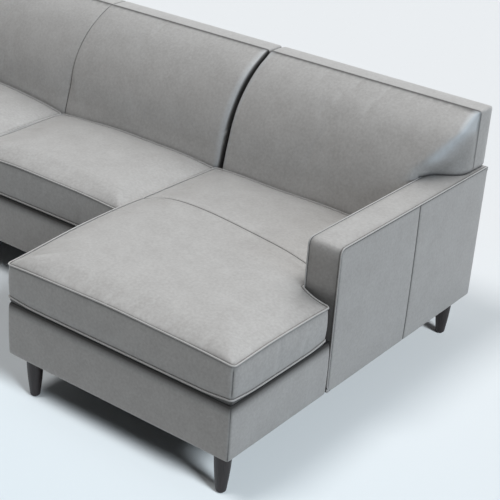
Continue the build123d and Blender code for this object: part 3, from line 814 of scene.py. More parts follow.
# Studio light: the sky's colour and strength, then for each softbox the way towards it, its strength,
# its spread in degrees and its colour
SKY = ("#FFFFFF", 0.08)
SOFTBOXES = (
    ("Overhead softbox", (0.0, 0.0, 1.0), 1.08, 60, "#FFFFFF"),
    ("Rear overhead softbox", (0.0, 0.56, 0.83), 1.62, 50, "#FFFFFF"),
    ("Right softbox", (0.95, -0.05, 0.30), 0.98, 40, "#DAEAF8"),
    ("Left softbox", (-0.60, -0.62, 0.50), 0.18, 50, "#FFF8F2"),
    ("Front window", (0.778, -0.581, 0.277), 0.06, 14, "#E8F2FC"),
)
# The floor has two softboxes of its own and the others pass it by, so that it stays pale in front of the sofa
FLOOR_SOFTBOXES = (
    ("Right floor softbox", (0.78, -0.22, 0.58), 3.5, 18, "#F6FCFF"),
    ("Front floor softbox", (-0.20, -0.36, 0.91), 1.2, 18, "#FFFDFB"),
)
# This one lights the leather without mirroring itself in it
WITHOUT_GLOSS = "Rear overhead softbox"

# Operators


class SECTIONAL_OT_stage(bpy.types.Operator):
    """Camera at the viewing angle, soft studio light and a plain pale floor"""

    bl_idname = "sectional.stage"
    bl_label = "Stage"

    def execute(self, context):
        scene = context.scene
        scene.view_settings.view_transform = "Standard"
        make_materials()
        self.add_camera(scene)
        lamps = self.add_lights(scene)
        floor = self.add_floor(scene)
        self.share_light(floor, lamps)
        return {"FINISHED"}

    def add_camera(self, scene):
        """A 94 mm lens, above and to the right of the sofa's front, with a slight roll."""
        yaw, pitch, roll = (math.radians(angle) for angle in (35.195, 26.014, 4.261))
        place = Vector((2.9372, -3.0674, 2.2319))
        ahead = Vector((-math.sin(yaw) * math.cos(pitch), math.cos(yaw) * math.cos(pitch), -math.sin(pitch)))
        right = Vector((math.cos(yaw), math.sin(yaw), 0))
        up = right.cross(ahead)
        tilted_right = right * math.cos(roll) + up * math.sin(roll)
        tilted_up = up * math.cos(roll) - right * math.sin(roll)
        data = bpy.data.cameras.new("View")
        data.sensor_width = 36
        data.lens = 94.22
        data.clip_end = 100
        camera = bpy.data.objects.new("View", data)
        axes = Matrix((tilted_right, tilted_up, -ahead)).transposed()
        camera.matrix_world = Matrix.Translation(place) @ axes.to_4x4()
        scene.collection.objects.link(camera)
        scene.camera = camera

    def add_lights(self, scene):
        """A dim sky behind a pale backdrop, and the softboxes by name."""
        world = bpy.data.worlds.new("Studio")
        world.use_nodes = True
        tree = world.node_tree
        sky = tree.nodes["Background"]
        set_node(tree, sky, {"Color": linear(SKY[0]), "Strength": SKY[1]})
        backdrop = add_node(tree, "ShaderNodeBackground", {"Color": linear(BACKDROP), "Strength": 1.0})
        choice = add_node(tree, "ShaderNodeMixShader", links={
            0: shows_background(tree), 1: sky.outputs[0], 2: backdrop.outputs[0]})
        set_node(tree, tree.nodes["World Output"], links={"Surface": choice.outputs[0]})
        scene.world = world
        return {softbox[0]: self.add_sun(scene, *softbox) for softbox in (*SOFTBOXES, *FLOOR_SOFTBOXES)}

    def add_sun(self, scene, name, towards, strength, spread, colour):
        """A broad even light from the given side."""
        data = bpy.data.lights.new(name, "SUN")
        data.energy = strength
        data.angle = math.radians(spread)
        data.color = linear(colour)[:3]
        lamp = bpy.data.objects.new(name, data)
        lamp.rotation_euler = Vector(towards).to_track_quat("Z", "Y").to_euler()
        scene.collection.objects.link(lamp)
        return lamp

    def share_light(self, floor, lamps):
        """Keeps the sofa's softboxes off the floor and the floor's own off the sofa."""
        for state, softboxes in (("EXCLUDE", SOFTBOXES), ("INCLUDE", FLOOR_SOFTBOXES)):
            receivers = bpy.data.collections.new(f"Floor light {state.lower()}")
            receivers.objects.link(floor)
            receivers.collection_objects[0].light_linking.link_state = state
            for name, *_ in softboxes:
                lamps[name].light_linking.receiver_collection = receivers
        lamps[WITHOUT_GLOSS].visible_glossy = False

    def add_floor(self, scene):
        """A wide plain floor that keeps the sofa's shadow."""
        reach = 40.0
        mesh = bpy.data.meshes.new("Floor")
        corners = [(-reach, -reach, 0), (reach, -reach, 0), (reach, reach, 0), (-reach, reach, 0)]
        mesh.from_pydata(corners, [], [(0, 1, 2, 3)])
        floor = bpy.data.objects.new("Floor", mesh)
        scene.collection.objects.link(floor)
        material, tree, place = new_material("Painted studio floor")
        # The sweep is cooler in front of the sofa than behind it
        depth = add_node(tree, "ShaderNodeSeparateXYZ", links={"Vector": place})
        behind = add_node(tree, "ShaderNodeMapRange", {"From Min": -1.2, "From Max": 1.6},
                          {"Value": depth.outputs["Y"]})
        mixed = add_node(tree, "ShaderNodeMix", {
            "data_type": "RGBA", MIX_FIRST: linear(FLOOR_IN_FRONT), MIX_SECOND: linear(colours().floor)},
            {0: behind.outputs["Result"]})
        # The pale floor throws little light back up, so that the sofa's upright sides keep their depth
        shown = add_node(tree, "ShaderNodeMix", {"data_type": "RGBA", MIX_FIRST: linear(FLOOR_BOUNCE)},
                         {0: shows_background(tree), MIX_SECOND: mixed.outputs[MIX_RESULT]})
        set_node(tree, tree.nodes[SHADER], {"Roughness": 0.7, "Specular IOR Level": 0.2},
                 {"Base Color": shown.outputs[MIX_RESULT]})
        mesh.materials.append(material)
        return floor


class SECTIONAL_OT_seat_cushions(bpy.types.Operator):
    """Three loose seat cushions, blown up as cloth, with piping along both edges"""

    bl_idname = "sectional.seat_cushions"
    bl_label = "Seat cushions"

    cross_seam = CHAISE.front + 645 * MM
    corner_radius = 0.014
    # How far the sides bulge at half height, and how uneven the top is, in waves of about this length
    side_bulge = 0.0025
    unevenness = 0.0014
    wave_length = 0.31
    # Along their top edges: how far the long cushion leans over, how far the sofa's gives way, how far in
    # from the side that is felt, and how far every rear side keeps off the back
    lean_over = 0.0115
    give_way = 0.0045
    side_reach = 0.25
    off_back = 0.003
    # How far each cushion's rear welt is pushed up by the back, at its ends and further in its middle
    rear_lifts = {
        "sofa_left_cushion": (0.008, 0.024),
        "sofa_right_cushion": (0.008, 0.006),
        "chaise_cushion": (0.003, 0.0),
    }

    def execute(self, context):
        for number, name in enumerate(("sofa_left_cushion", "sofa_right_cushion")):
            low, high = node_box(f"{name}_welts")
            outline = [(low[X], low[Y]), (high[X], low[Y]), (high[X], high[Y]), (low[X], high[Y])]
            self.make_cushion(name, outline, low[Z], high[Z], seed=11 + number)
        low, high = node_box("chaise_cushion_welts")
        play = 3 * MM
        ear_rear = CHAISE.arm_front - play
        by_arm = CHAISE.arm_inner - play
        outline = [(low[X], low[Y]), (high[X], low[Y]), (high[X], ear_rear), (by_arm, ear_rear),
                   (by_arm, high[Y]), (low[X], high[Y])]
        self.make_cushion("chaise_cushion", outline, low[Z], high[Z], seed=17)
        return {"FINISHED"}

    def make_cushion(self, name, outline, bottom, top, seed):
        soft = sizes()
        radius = soft.welt_radius
        is_long = len(outline) > 4
        low, high = bottom + radius + soft.edge_lift, top - radius
        tall = high - low
        rows = [0, EDGE_NEAR, EDGE_FAR, 0.022, 0.040, tall / 2]
        rows += [tall - row for row in reversed(rows[:-1])]
        inset = radius * 0.6
        levels = [(low + row, inset - self.side_bulge * math.sin(math.pi * row / tall)) for row in rows]
        seams = (self.cross_seam,) if is_long else ()
        block = padded_block(outline, self.corner_radius, levels, TURNED["up"], soft.cell, seams_b=seams,
                             edge_steps=EDGE_STEPS)
        co = block.co
        curl = self.corner_curl(block)
        lift = self.welt_lift(name, block)
        for row, ring in zip(rows, block.rings):
            part = row / tall
            co[ring, Z] += curl * (1 - part) + lift * part
        self.rest_on_deck(block, radius + soft.edge_lift)
        self.dome(block, soft.crown)
        co[:, Z] += self.unevenness * ripple(co, self.wave_length, seed) * on_cap(block, 1)
        self.shift_side(name, co)
        if is_long:
            self.shape_ear(block)
            co[:, Y] -= self.seam_drift(co) * (1 - smooth_step(abs(co[:, Y] - self.cross_seam), 0, 0.12))
        held = np.zeros(len(co))
        held[block.caps[0][block.used]] = 1
        held[block.rings[0]] = 1
        held[block.rings[-1]] = 1
        block.co = inflate(name, co, block.faces, held, cap=0.007, slack=0.005)
        if is_long:
            from_seam = block.co[:, Y] - self.cross_seam + self.seam_drift(block.co)
            press_seam(block, from_seam, on_cap(block, 1), depth=0.0026)
        sew_corners(block, self.corner_radius, outer_corners(block.corners))
        self.mark_welts(block)
        add_leather(name, block, name, [f"{name}_cover"])
        paths = [(self.welt_path(block, block.rings[0], radius, lift=-0.25), True),
                 (self.welt_path(block, block.rings[-1], radius, lift=0.35), True)]
        add_piping(f"{name}_piping", paths, name, radius, [f"{name}_welts"])
        if is_long:
            upper = block.caps[1]
            column = int(np.argmin(abs(block.lines[1] - self.cross_seam)))
            ids = upper[:, column][upper[:, column] >= 0]
            proud = np.array((0, 0, 0.0004))
            add_stitches(f"{name}_stitches", block.co[ids] + proud, name)

    def corner_curl(self, block):
        """How far the lower welt curls up at each outer corner."""
        ring = block.co[block.rings[0]][:, :2]
        curl = np.zeros(len(ring))
        reach = 0.06
        for corner, _ in outer_corners(block.corners):
            distance = np.hypot(*(ring - corner).T)
            curl = np.maximum(curl, sizes().corner_lift * bump_at(distance, 0, reach))
        return curl

    def welt_lift(self, name, block):
        """How far the top welt rides up: bowed along each long side and pushed up along the back."""
        full_length = 0.6
        side_lift, arm_lift = 0.008, 0.016
        ring = block.co[block.rings[-1]]
        corners = np.array(block.corners)
        lengths = abs(np.roll(corners, -1, axis=0) - corners).sum(axis=1)[block.side]
        by_length = np.clip(lengths / full_length, 0, 1) ** 2
        bow = sizes().welt_bow * 4 * block.share * (1 - block.share) * by_length
        low, high = ring.min(axis=0), ring.max(axis=0)
        across = (ring[:, X] - low[X]) / (high[X] - low[X])
        rear_lift, rear_bow = self.rear_lifts[name]
        by_back = smooth_step(ring[:, Y], high[Y] - 0.30, high[Y])
        lift = bow + by_back * (rear_lift + rear_bow * 4 * across * (1 - across))
        if name == "chaise_cushion":
            by_sofa = 1 - smooth_step(ring[:, X] - low[X], 0, 0.30)
            lift += side_lift * by_sofa * smooth_step(ring[:, Y], low[Y] + 0.08, low[Y] + 0.50)
            from_arm = np.hypot(ring[:, X] - CHAISE.arm_inner, ring[:, Y] - CHAISE.arm_front)
            lift += arm_lift * bump_at(from_arm, 0, 0.065)
        return lift

    def rest_on_deck(self, block, height):
        """Lets the bottom panel down on to the deck behind its lifted edge, and paints shade on it near that
        edge.
        """
        ids = block.caps[0][block.inside]
        gap = block.gap[block.inside]
        clear_of_deck = 0.0008
        block.co[ids, Z] -= (height - clear_of_deck) * smooth_step(gap, 0.0008, 0.0034)
        # Painted shade: the bottom panel is near-black for a few centimetres in from its edge, as the shade
        # in the gap under the lifted welt
        block.seam[ids] = 1 - smooth_step(gap, 0.02, 0.05)

    def shift_side(self, name, co):
        """Leans the long cushion on to the sofa's, which gives way, and keeps rear sides off the back."""
        if name == "chaise_cushion":
            low = co[:, X].min()
            by_side = 1 - smooth_step(co[:, X] - low, 0, self.side_reach)
            lean = self.lean_over * (by_side * smooth_step(co[:, Z], 0.39, 0.45))
            co[:, X] -= lean * smooth_step(co[:, Y], CHAISE.front + 0.02, CHAISE.front + 0.30)
        rear = co[:, Y].max()
        by_back = smooth_step(co[:, Y], rear - 0.04, rear) * smooth_step(co[:, Z], 0.40, 0.45)
        co[:, Y] -= self.off_back * by_back
        if name == "sofa_right_cushion":
            high = co[:, X].max()
            by_side = 1 - smooth_step(high - co[:, X], 0, self.side_reach)
            co[:, X] -= self.give_way * by_side * smooth_step(co[:, Z], 0.36, 0.44)

    def seam_drift(self, co):
        """How far forward of its middle stretch the cross seam runs, by the arm and by the open side."""
        by_arm, by_open_side = 0.050, 0.026
        drift = by_arm * smooth_step(co[:, X], CHAISE.open_end + 0.15, CHAISE.arm_inner)
        return drift + by_open_side * bump_at(co[:, X], CHAISE.open_end - 0.01, 0.05)

    def dome(self, block, crown):
        """Lifts the top panel over the foam: a roll along the edges and a slow dome over the middle."""
        ids = block.caps[1][block.inside]
        height = membrane(block)[block.inside] ** 0.7
        gap = block.gap[block.inside]
        from_front = block.co[ids, Y] - block.co[ids, Y].min() + 1e-4
        front = np.clip(gap / from_front, 0, 1) ** 4
        # Along the front the roll is narrower and rounder, and has a greater share of the crown
        width = 0.160 - 0.095 * front
        bend = 1.8 + 0.5 * front
        share = 0.38 + 0.36 * front
        roll = 1 - (1 - np.clip(gap / width, 0, 1)) ** bend
        edge = self.edge_height(block)
        block.co[ids, Z] += edge + crown * (share * roll + (1 - share) * height)

    def mark_welts(self, block):
        """Draws the leather in along both welts and paints shade into the fold there."""
        depth, darkness = 0.0011, 0.7
        fold = np.zeros(len(block.co))
        for end, near, far in ((0, 1, 2), (-1, -2, -3)):
            fold[block.rings[end]] = 1
            fold[block.rings[near]] = 1
            fold[block.rings[far]] = SHALLOW
        fold[block.caps[1][block.inside]] = welt_fold(block.gap[block.inside])
        pressed = fold.copy()
        pressed[block.rings[0]] = pressed[block.rings[-1]] = 0
        block.co -= normals_of(block.co, block.faces) * (depth * pressed)[:, None]
        block.seam = np.maximum(block.seam, darkness * fold)

    def edge_height(self, block):
        """Height of the welt carried in over the panel, so that the bowed edge has no step."""
        ring = block.co[block.rings[-1]]
        points = block.co[block.caps[1][block.inside]][:, :2]
        gaps = np.linalg.norm(points[:, None, :] - ring[None, :, :2], axis=2)
        weights = 1 / (gaps + 1e-4) ** 2
        return (weights @ (ring[:, Z] - ring[:, Z].min())) / weights.sum(axis=1)

    def shape_ear(self, block):
        """Draws the ear's rear forward, off the arm, and paints shade into the pinch by the arm's corner."""
        drawn, darkness = 0.024, 0.6
        co = block.co
        over = np.clip(co[:, X] - CHAISE.arm_inner, 0, None)
        back = smooth_step(co[:, Y], CHAISE.arm_front - 0.20, CHAISE.arm_front)
        co[:, Y] -= drawn * (1 - np.exp(-over / 0.03)) * back
        reach = np.hypot(co[:, X] - CHAISE.arm_inner + 0.012, co[:, Y] - CHAISE.arm_front - 0.02)
        block.seam = np.maximum(block.seam, darkness * bump_at(reach, 0, 0.024) * on_cap(block, 1))

    def welt_path(self, block, ring, radius, lift):
        """The piping's middle line: a little outside the panel's edge, lifted by a share of its radius."""
        normals = normals_of(block.co, block.faces)[ring]
        level = normals * np.array((1, 1, 0))
        level /= np.maximum(np.linalg.norm(level, axis=1), 1e-9)[:, None]
        return block.co[ring] + level * radius * 0.3 + np.array((0, 0, radius * lift))


class SECTIONAL_OT_back_pads(bpy.types.Operator):
    """Tight back pads that lean into the seat and roll over on to the top band"""

    bl_idname = "sectional.back_pads"
    bl_label = "Back pads"

    # Depth of the pad at the seat, how much less it is where the lean ends, how high above the seat that is,
    # and the seat's height above the base
    foot = 0.264
    lean = 0.036
    lean_rise = 0.142
    seat_rise = 0.128
    corner_radius = 0.006
    # How uneven the face is, in waves of about this length
    unevenness = 0.0022
    wave_length = 0.36

    def execute(self, context):
        gap = 0.4 * MM
        self.make_pad("chaise_back_pad", CHAISE, CHAISE.open_end, CHAISE.back_end, seed=23)
        self.make_pad("sofa_back_pad_left", SOFA, SEAT_SPLIT - gap, SOFA.back_end, seed=29)
        self.make_pad("sofa_back_pad_right", SOFA, SEAT_SPLIT + gap, SOFA.open_end, seed=31)
        return {"FINISHED"}

    def depth_at(self, height, module):
        """How far the pad's middle stands in front of the back box at each height."""
        seat = module.base_top + self.seat_rise
        lean_end = seat + self.lean_rise
        shoulder = self.foot - self.lean
        start_angle = math.atan2(self.lean, self.lean_rise)
        rise, run = module.back_top - lean_end, shoulder
        chord_angle = math.atan2(run, rise)
        turn = 2 * (chord_angle - start_angle)
        arc = math.hypot(rise, run) / (2 * math.sin(turn / 2))
        centre_out = shoulder - arc * math.cos(start_angle)
        centre_up = lean_end - arc * math.sin(start_angle)
        lower = np.where(height < seat, self.foot, self.foot - self.lean * (height - seat) / self.lean_rise)
        round_part = centre_out + np.sqrt(np.maximum(arc**2 - (height - centre_up) ** 2, 0))
        return np.where(height < lean_end, lower, round_part)

    def make_pad(self, name, module, start, end, seed):
        soft = sizes()
        low, high = module.base_top + 0.001, module.back_top - 0.0006
        ends_at_arm = same_place(end, module.back_end)
        if ends_at_arm:
            shelf = module.arm_top + 0.001
            beside = module.arm_inner - module.side * 0.001
            outline = [(start, low), (beside, low), (beside, shelf), (end, shelf), (end, high), (start, high)]
        else:
            outline = [(start, low), (end, low), (end, high), (start, high)]
        rows = 5
        levels = [(k / rows, 0.0) for k in range(rows + 1)]
        block = padded_block(outline, self.corner_radius, levels, TURNED["forward"], soft.cell,
                             edge_steps=(0.0016, 0.004, 0.009, 0.018))
        co = block.co
        share = -co[:, Y].copy()
        depth = self.pad_depth(co, module, start, end, ends_at_arm)
        # The pad is thinnest where it is sewn to the top band and at its end
        from_edge = np.minimum(module.back_top - co[:, Z], abs(co[:, X] - end))
        least = 0.0024 + 0.0056 * smooth_step(from_edge, 0, 0.004)
        co[:, Y] = module.box_front - 0.0006 - share * np.maximum(depth, least)
        front = on_cap(block, 1)
        # The foot of the pad keeps its place behind the seat cushions' rear welts
        above_seat = smooth_step(co[:, Z], module.base_top + 0.145, module.base_top + 0.24)
        waves = self.unevenness * ripple(co, self.wave_length, seed)
        co[:, Y] -= waves * front * smooth_step(depth, 0.02, 0.12) * above_seat
        held = np.ones(len(co))
        loose = block.caps[1][block.inside]
        held[loose] = 1 - above_seat[loose]
        block.co = inflate(name, co, block.faces, held, cap=0.008, slack=0.004)
        self.mark_edges(block, module, start, end, ends_at_arm)
        add_leather(name, block, module.name, [name])
        if same_place(start, SEAT_SPLIT) and start < SEAT_SPLIT:
            on_seam = block.rings[-1][same_place(block.co[block.rings[-1], X], start)]
            path = block.co[on_seam]
            path = path[np.argsort(path[:, Z])][2:-2] - np.array((0, 0.0012, 0))
            add_stitches(f"{name}_stitches", path, module.name)

    def mark_edges(self, block, module, start, end, ends_at_arm):
        """Painted shade in the folds where the pad is sewn to the top band, to the band's end and to the next
        pad, in the gap at the open end, along the arm and in the tuck; painted highlight along the open edge
        and the ridge.
        """
        co = block.co
        to_top = module.back_top - co[:, Z]
        sewn = to_top - 0.0006
        if ends_at_arm:
            sewn = np.minimum(sewn, 0.5 * np.hypot(co[:, X] - end, co[:, Y] - module.box_front))
        to_split = abs(co[:, X] - SEAT_SPLIT)
        # Painted shade in the folds at the top band, the band's end and the split
        block.seam = np.maximum(0.9 * np.interp(sewn, (0.0, 0.0017, 0.0041), (1, 0.7, 0)),
                                0.6 * np.interp(to_split, (0.0, 0.0012, 0.0030), (1, 0.7, 0)))
        # Painted shade: the pad's side in the gap at the open end is near-black
        from_gap = abs(co[:, X] - module.open_end)
        block.seam[on_rings(block, block.rings[:-1]) & (from_gap < 0.004)] = 1
        if same_place(end, module.open_end) or same_place(start, module.open_end):
            # Painted highlight along the rolled open edge, and painted shade in the gap beside it
            block.stretch += 0.5 * bump_at(from_gap, 0.012, 0.0055)
            block.seam = np.maximum(block.seam, np.interp(from_gap, (0.001, 0.004, 0.007), (1, 0.8, 0)))
        if ends_at_arm:
            from_end = abs(co[:, X] - end)
            on_arm = (from_end < abs(module.arm_inner - end)) & (co[:, Z] > module.arm_top - 0.01)
            # Painted shade along the foot of the pad where it sits on the arm
            above = co[:, Z] - module.arm_top
            contact = np.interp(above, (0.001, 0.005, 0.014), (1, 0.9, 0))
            block.seam = np.maximum(block.seam, np.where(on_arm, contact, 0))
            # Painted highlight along the ridge, fading out towards the arm
            ridge = self.ridge_at(co[:, Z], module)
            width = 0.010 + 0.16 * ridge
            fade = smooth_step(above, 0.020, 0.085)
            near_ridge = np.where(from_end < ridge + 0.2, fade, 0)
            block.stretch += 0.75 * bump_at(from_end, ridge, width) * near_ridge
            # Painted shade in the tuck between the ridge and the pad's end
            in_tuck = smooth_step(above, 0, 0.01) * smooth_step(ridge - from_end, 0.006, 0.035)
            block.seam = np.maximum(block.seam, 0.16 * np.where(on_arm, in_tuck, 0))

    def pad_depth(self, co, module, start, end, ends_at_arm):
        """Depth of the pad over its whole face: full in the middle, rolled at the ends."""
        height = co[:, Z]
        full = self.depth_at(height, module)
        depth = self.roll_end(full, abs(co[:, X] - start), same_place(start, SEAT_SPLIT))
        from_end = abs(co[:, X] - end)
        if not ends_at_arm:
            return self.roll_end(depth, from_end, False)
        # By the arm's top the end swells like a pillow; above it a ridge runs from the arm's inner edge up to
        # the outer corner, and the end falls off sharply behind that ridge
        pillow = 0.012 + 0.050 * (1 - np.exp(-from_end / 0.006)) + 0.8 * from_end
        pillow += 0.10 * smooth_step(from_end, 0.080, 0.122)
        ridge = self.ridge_at(height, module)
        edge = 1 - np.exp(-from_end / 0.004)
        facet = depth * (0.14 * edge + 0.86 * from_end / ridge)
        high = smooth_step(height, module.arm_top + 0.002, module.arm_top + 0.075)
        wing = soft_min(depth, pillow * (1 - high) + facet * high, np.clip(0.42 * depth, 0.010, 0.075))
        beside_arm = np.where(from_end > 0.09, abs(co[:, X] - module.arm_inner), 0)
        inner = depth - 0.005 * self.edge_roll(beside_arm, 0.012)
        above = smooth_step(height, module.arm_top - 0.06, module.arm_top + 0.006)
        blended = inner * (1 - above) + wing * above
        over_arm = from_end < abs(module.arm_inner - end) + 0.002
        tuck = np.where(over_arm, self.edge_roll(height - module.arm_top, 0.014), 0)
        return blended - np.minimum(0.005, 0.2 * blended) * tuck

    def ridge_at(self, height, module):
        """How far in from the pad's end the ridge runs at each height."""
        return np.maximum(0.625 * (module.back_top - 0.042 - height), 0.009)

    def roll_end(self, depth, distance, is_seam):
        """A pad's upright edge: a generous roll where it is free, a shallow one where two pads are sewn."""
        if is_seam:
            valley = (1 - np.clip(distance / 0.07, 0, 1)) ** 2
            stitched = np.minimum(0.002, 0.1 * depth) * (distance < 0.001)
            return depth - np.minimum(0.0055, 0.1 * depth) * valley - stitched
        return depth - np.minimum(0.027, 0.6 * depth) * self.edge_roll(distance, 0.028)

    def edge_roll(self, distance, reach):
        """1 at an edge and 0 past its rounding, like a quarter circle."""
        t = np.clip(distance / reach, 0, 1)
        return 1 - np.sqrt(1 - (1 - t) ** 2)


class SECTIONAL_OT_arms(bpy.types.Operator):
    """Track arms: one band over front and top, piped outside panels with a seam, soft inside edge"""

    bl_idname = "sectional.arms"
    bl_label = "Arms"

    front_radius = 0.021
    corner_radius = 0.009
    outer_bulge = 0.0035
    inner_bulge = 0.002
    piping_radius = 0.0024
    # How far the piped edges reach round the front and the top
    piped_reach = 0.020

    def execute(self, context):
        for module in (SOFA, CHAISE):
            self.make_arm(module)
        return {"FINISHED"}

    def make_arm(self, module):
        outline = [(module.arm_front, module.base_low), (module.rear, module.base_low),
                   (module.rear, module.arm_top), (module.arm_front, module.arm_top)]
        width = abs(module.arm_outer - module.arm_inner)
        seam = (module.arm_front + module.rear) / 2
        high = module.arm_top - 0.1
        # The band swells a little across its width and turns in at its edges
        edge = [(0.0, 0.0012), (0.0015, 0.0006), (EDGE_NEAR, 0.0008), (EDGE_FAR, 0.0)]
        middle = [(0.02, -0.0008), (0.04, -0.0014), (0.056, -0.0016), (0.075, -0.0014), (0.092, -0.0006)]
        steps = edge + middle + [(width - w, inset) for w, inset in reversed(edge)]
        if module.side > 0:
            levels = [(module.arm_inner + w, inset) for w, inset in steps]
        else:
            levels = [(module.arm_outer + width - w, inset) for w, inset in reversed(steps)]

        def radius(corner):
            """The top of the front is rounder than the other corners."""
            return self.front_radius if corner[0] < seam and corner[1] > high else self.corner_radius

        block = padded_block(outline, radius, levels, TURNED["across"], sizes().cell, seams_a=(seam,),
                             edge_steps=EDGE_STEPS)
        height = membrane(block)
        outer_cap, inner_cap = (1, 0) if module.side > 0 else (0, 1)
        for cap, bulge in ((outer_cap, self.outer_bulge), (inner_cap, self.inner_bulge)):
            ids = block.caps[cap]
            out = module.side if cap == outer_cap else -module.side
            block.co[ids[block.used], X] += out * bulge * height[block.used] ** 0.5
        press_seam(block, block.co[:, Y] - seam, on_cap(block, outer_cap), depth=0.0022, mark=0.0032)
        for cap in (outer_cap, inner_cap):
            self.mark_welt(block, module, cap)
        self.shade_arm_front(block, module)
        nodes = [f"{module.name}_arm_{part}" for part in ("band", "outside_panels", "inside_panel")]
        add_leather(f"{module.name}_arm_leather", block, module.name, nodes)
        paths = [(self.welt_path(block, module, ring), False) for ring in (block.rings[0], block.rings[-1])]
        add_piping(f"{module.name}_arm_piping", paths, module.name, self.piping_radius)
        ids = block.caps[outer_cap]
        line = ids[int(np.argmin(abs(block.lines[0] - seam)))]
        run = block.co[line[line >= 0]][2:-1] + np.array((module.side * 0.0003, 0, 0))
        add_stitches(f"{module.name}_arm_stitches", run, module.name)

    def welt_path(self, block, module, ring):
        """Middle line of the piping on one edge of the arm: up its front and back along its top."""
        edge = block.co[ring]
        path = edge[self.is_piped(edge, module)]
        along = path[:, Z] + path[:, Y]
        path = path[np.argsort(along)]
        sunk = 0.0004
        path[:, X] -= np.sign(path[:, X] - (module.arm_inner + module.arm_outer) / 2) * sunk
        return path

    def is_piped(self, co, module):
        """Which points lie by the arm's front or top."""
        on_top = co[:, Z] > module.arm_top - self.piped_reach
        return on_top | (co[:, Y] < module.arm_front + self.piped_reach)

    def shade_arm_front(self, block, module):
        """Paints shade on the arm's front, so that it is a little darker than its sides, most of all along
        its edges.
        """
        all_over, by_edges, by_ear = 0.23, 0.13, 0.34
        co = block.co
        from_side = np.minimum(abs(co[:, X] - module.arm_inner), abs(co[:, X] - module.arm_outer))
        shade = all_over + by_edges * (1 - smooth_step(from_side, 0.004, 0.030))
        if module is CHAISE:
            # Painted shade: the arm is darkest just above the cushion's ear, which shades it
            above_ear = co[:, Z] - EAR_TOP
            shade = shade + by_ear * (1 - smooth_step(above_ear, 0.004, 0.050))
        down = smooth_step(module.arm_top - co[:, Z], 0.010, 0.050)
        on_front = 1 - smooth_step(co[:, Y] - module.arm_front, 0.004, 0.014)
        block.seam = np.maximum(block.seam, shade * down * on_front)

    def mark_welt(self, block, module, cap):
        """Painted shade in the folds on both sides of a welt, along the top and the front of one edge of the
        arm.
        """
        fold = np.zeros(len(block.co))
        order = (-1, -2, -3, -4) if cap else (0, 1, 2, 3)
        for index, share in zip(order, (1, 1, 1, SHALLOW)):
            fold[block.rings[index]] = share
        fold[block.caps[cap][block.inside]] = welt_fold(block.gap[block.inside])
        darkness = 0.95
        block.seam = np.maximum(block.seam, darkness * fold * self.is_piped(block.co, module))


class SECTIONAL_OT_bases(bpy.types.Operator):
    """Leather borders round the seat frames, drawn over the rails"""

    bl_idname = "sectional.bases"
    bl_label = "Bases"

    corner_radius = 0.010
    # Painted shade: the top under the cushions is near-black, and so is the edge below the cushion's lower
    # welt, ring by ring, as the shade in the gap there
    deck_shade = 0.95
    edge_shades = (0.10, 0.64, 1, 1, 1)

    def execute(self, context):
        gap = 0.6 * MM
        sofa = [(SOFA.arm_inner + gap, SOFA.front), (SOFA.open_end, SOFA.front),
                (SOFA.open_end, SOFA.box_front), (SOFA.arm_inner + gap, SOFA.box_front)]
        ear_rear = CHAISE.arm_front - gap
        by_arm = CHAISE.arm_inner - gap
        chaise = [(CHAISE.open_end, CHAISE.front), (CHAISE.arm_outer, CHAISE.front),
                  (CHAISE.arm_outer, ear_rear), (by_arm, ear_rear),
                  (by_arm, CHAISE.box_front), (CHAISE.open_end, CHAISE.box_front)]
        self.make_base(SOFA, sofa)
        self.make_base(CHAISE, chaise)
        return {"FINISHED"}

    def make_base(self, module, outline):
        low, high = module.base_low, module.base_top
        tall = high - low
        steps = [(0.0, 0.006), (0.0018, 0.0018), (0.006, 0.0), (0.03, -0.0008), (0.06, -0.0014),
                 (tall / 2, -0.0016), (tall - 0.06, -0.0014), (tall - 0.03, -0.0006), (tall - 0.014, 0.0002),
                 (tall - 0.005, 0.0025), (tall - 0.0012, 0.007), (tall, 0.014)]
        levels = [(low + w, inset) for w, inset in steps]
        block = padded_block(outline, self.corner_radius, levels, TURNED["up"], sizes().cell * PLAIN_PANEL,
                             edge_steps=(0.003, 0.0065, 0.014, 0.025))
        block.seam[on_cap(block, 1)] = self.deck_shade
        for ring, shade in zip(block.rings[-len(self.edge_shades):], self.edge_shades):
            block.seam[ring] = shade
        in_front = [pair for pair in outer_corners(block.corners) if pair[0][1] <= module.front + 0.01]
        sew_corners(block, self.corner_radius, in_front)
        nodes = [f"{module.name}_borders"]
        add_leather(f"{module.name}_base_leather", block, module.name, nodes)


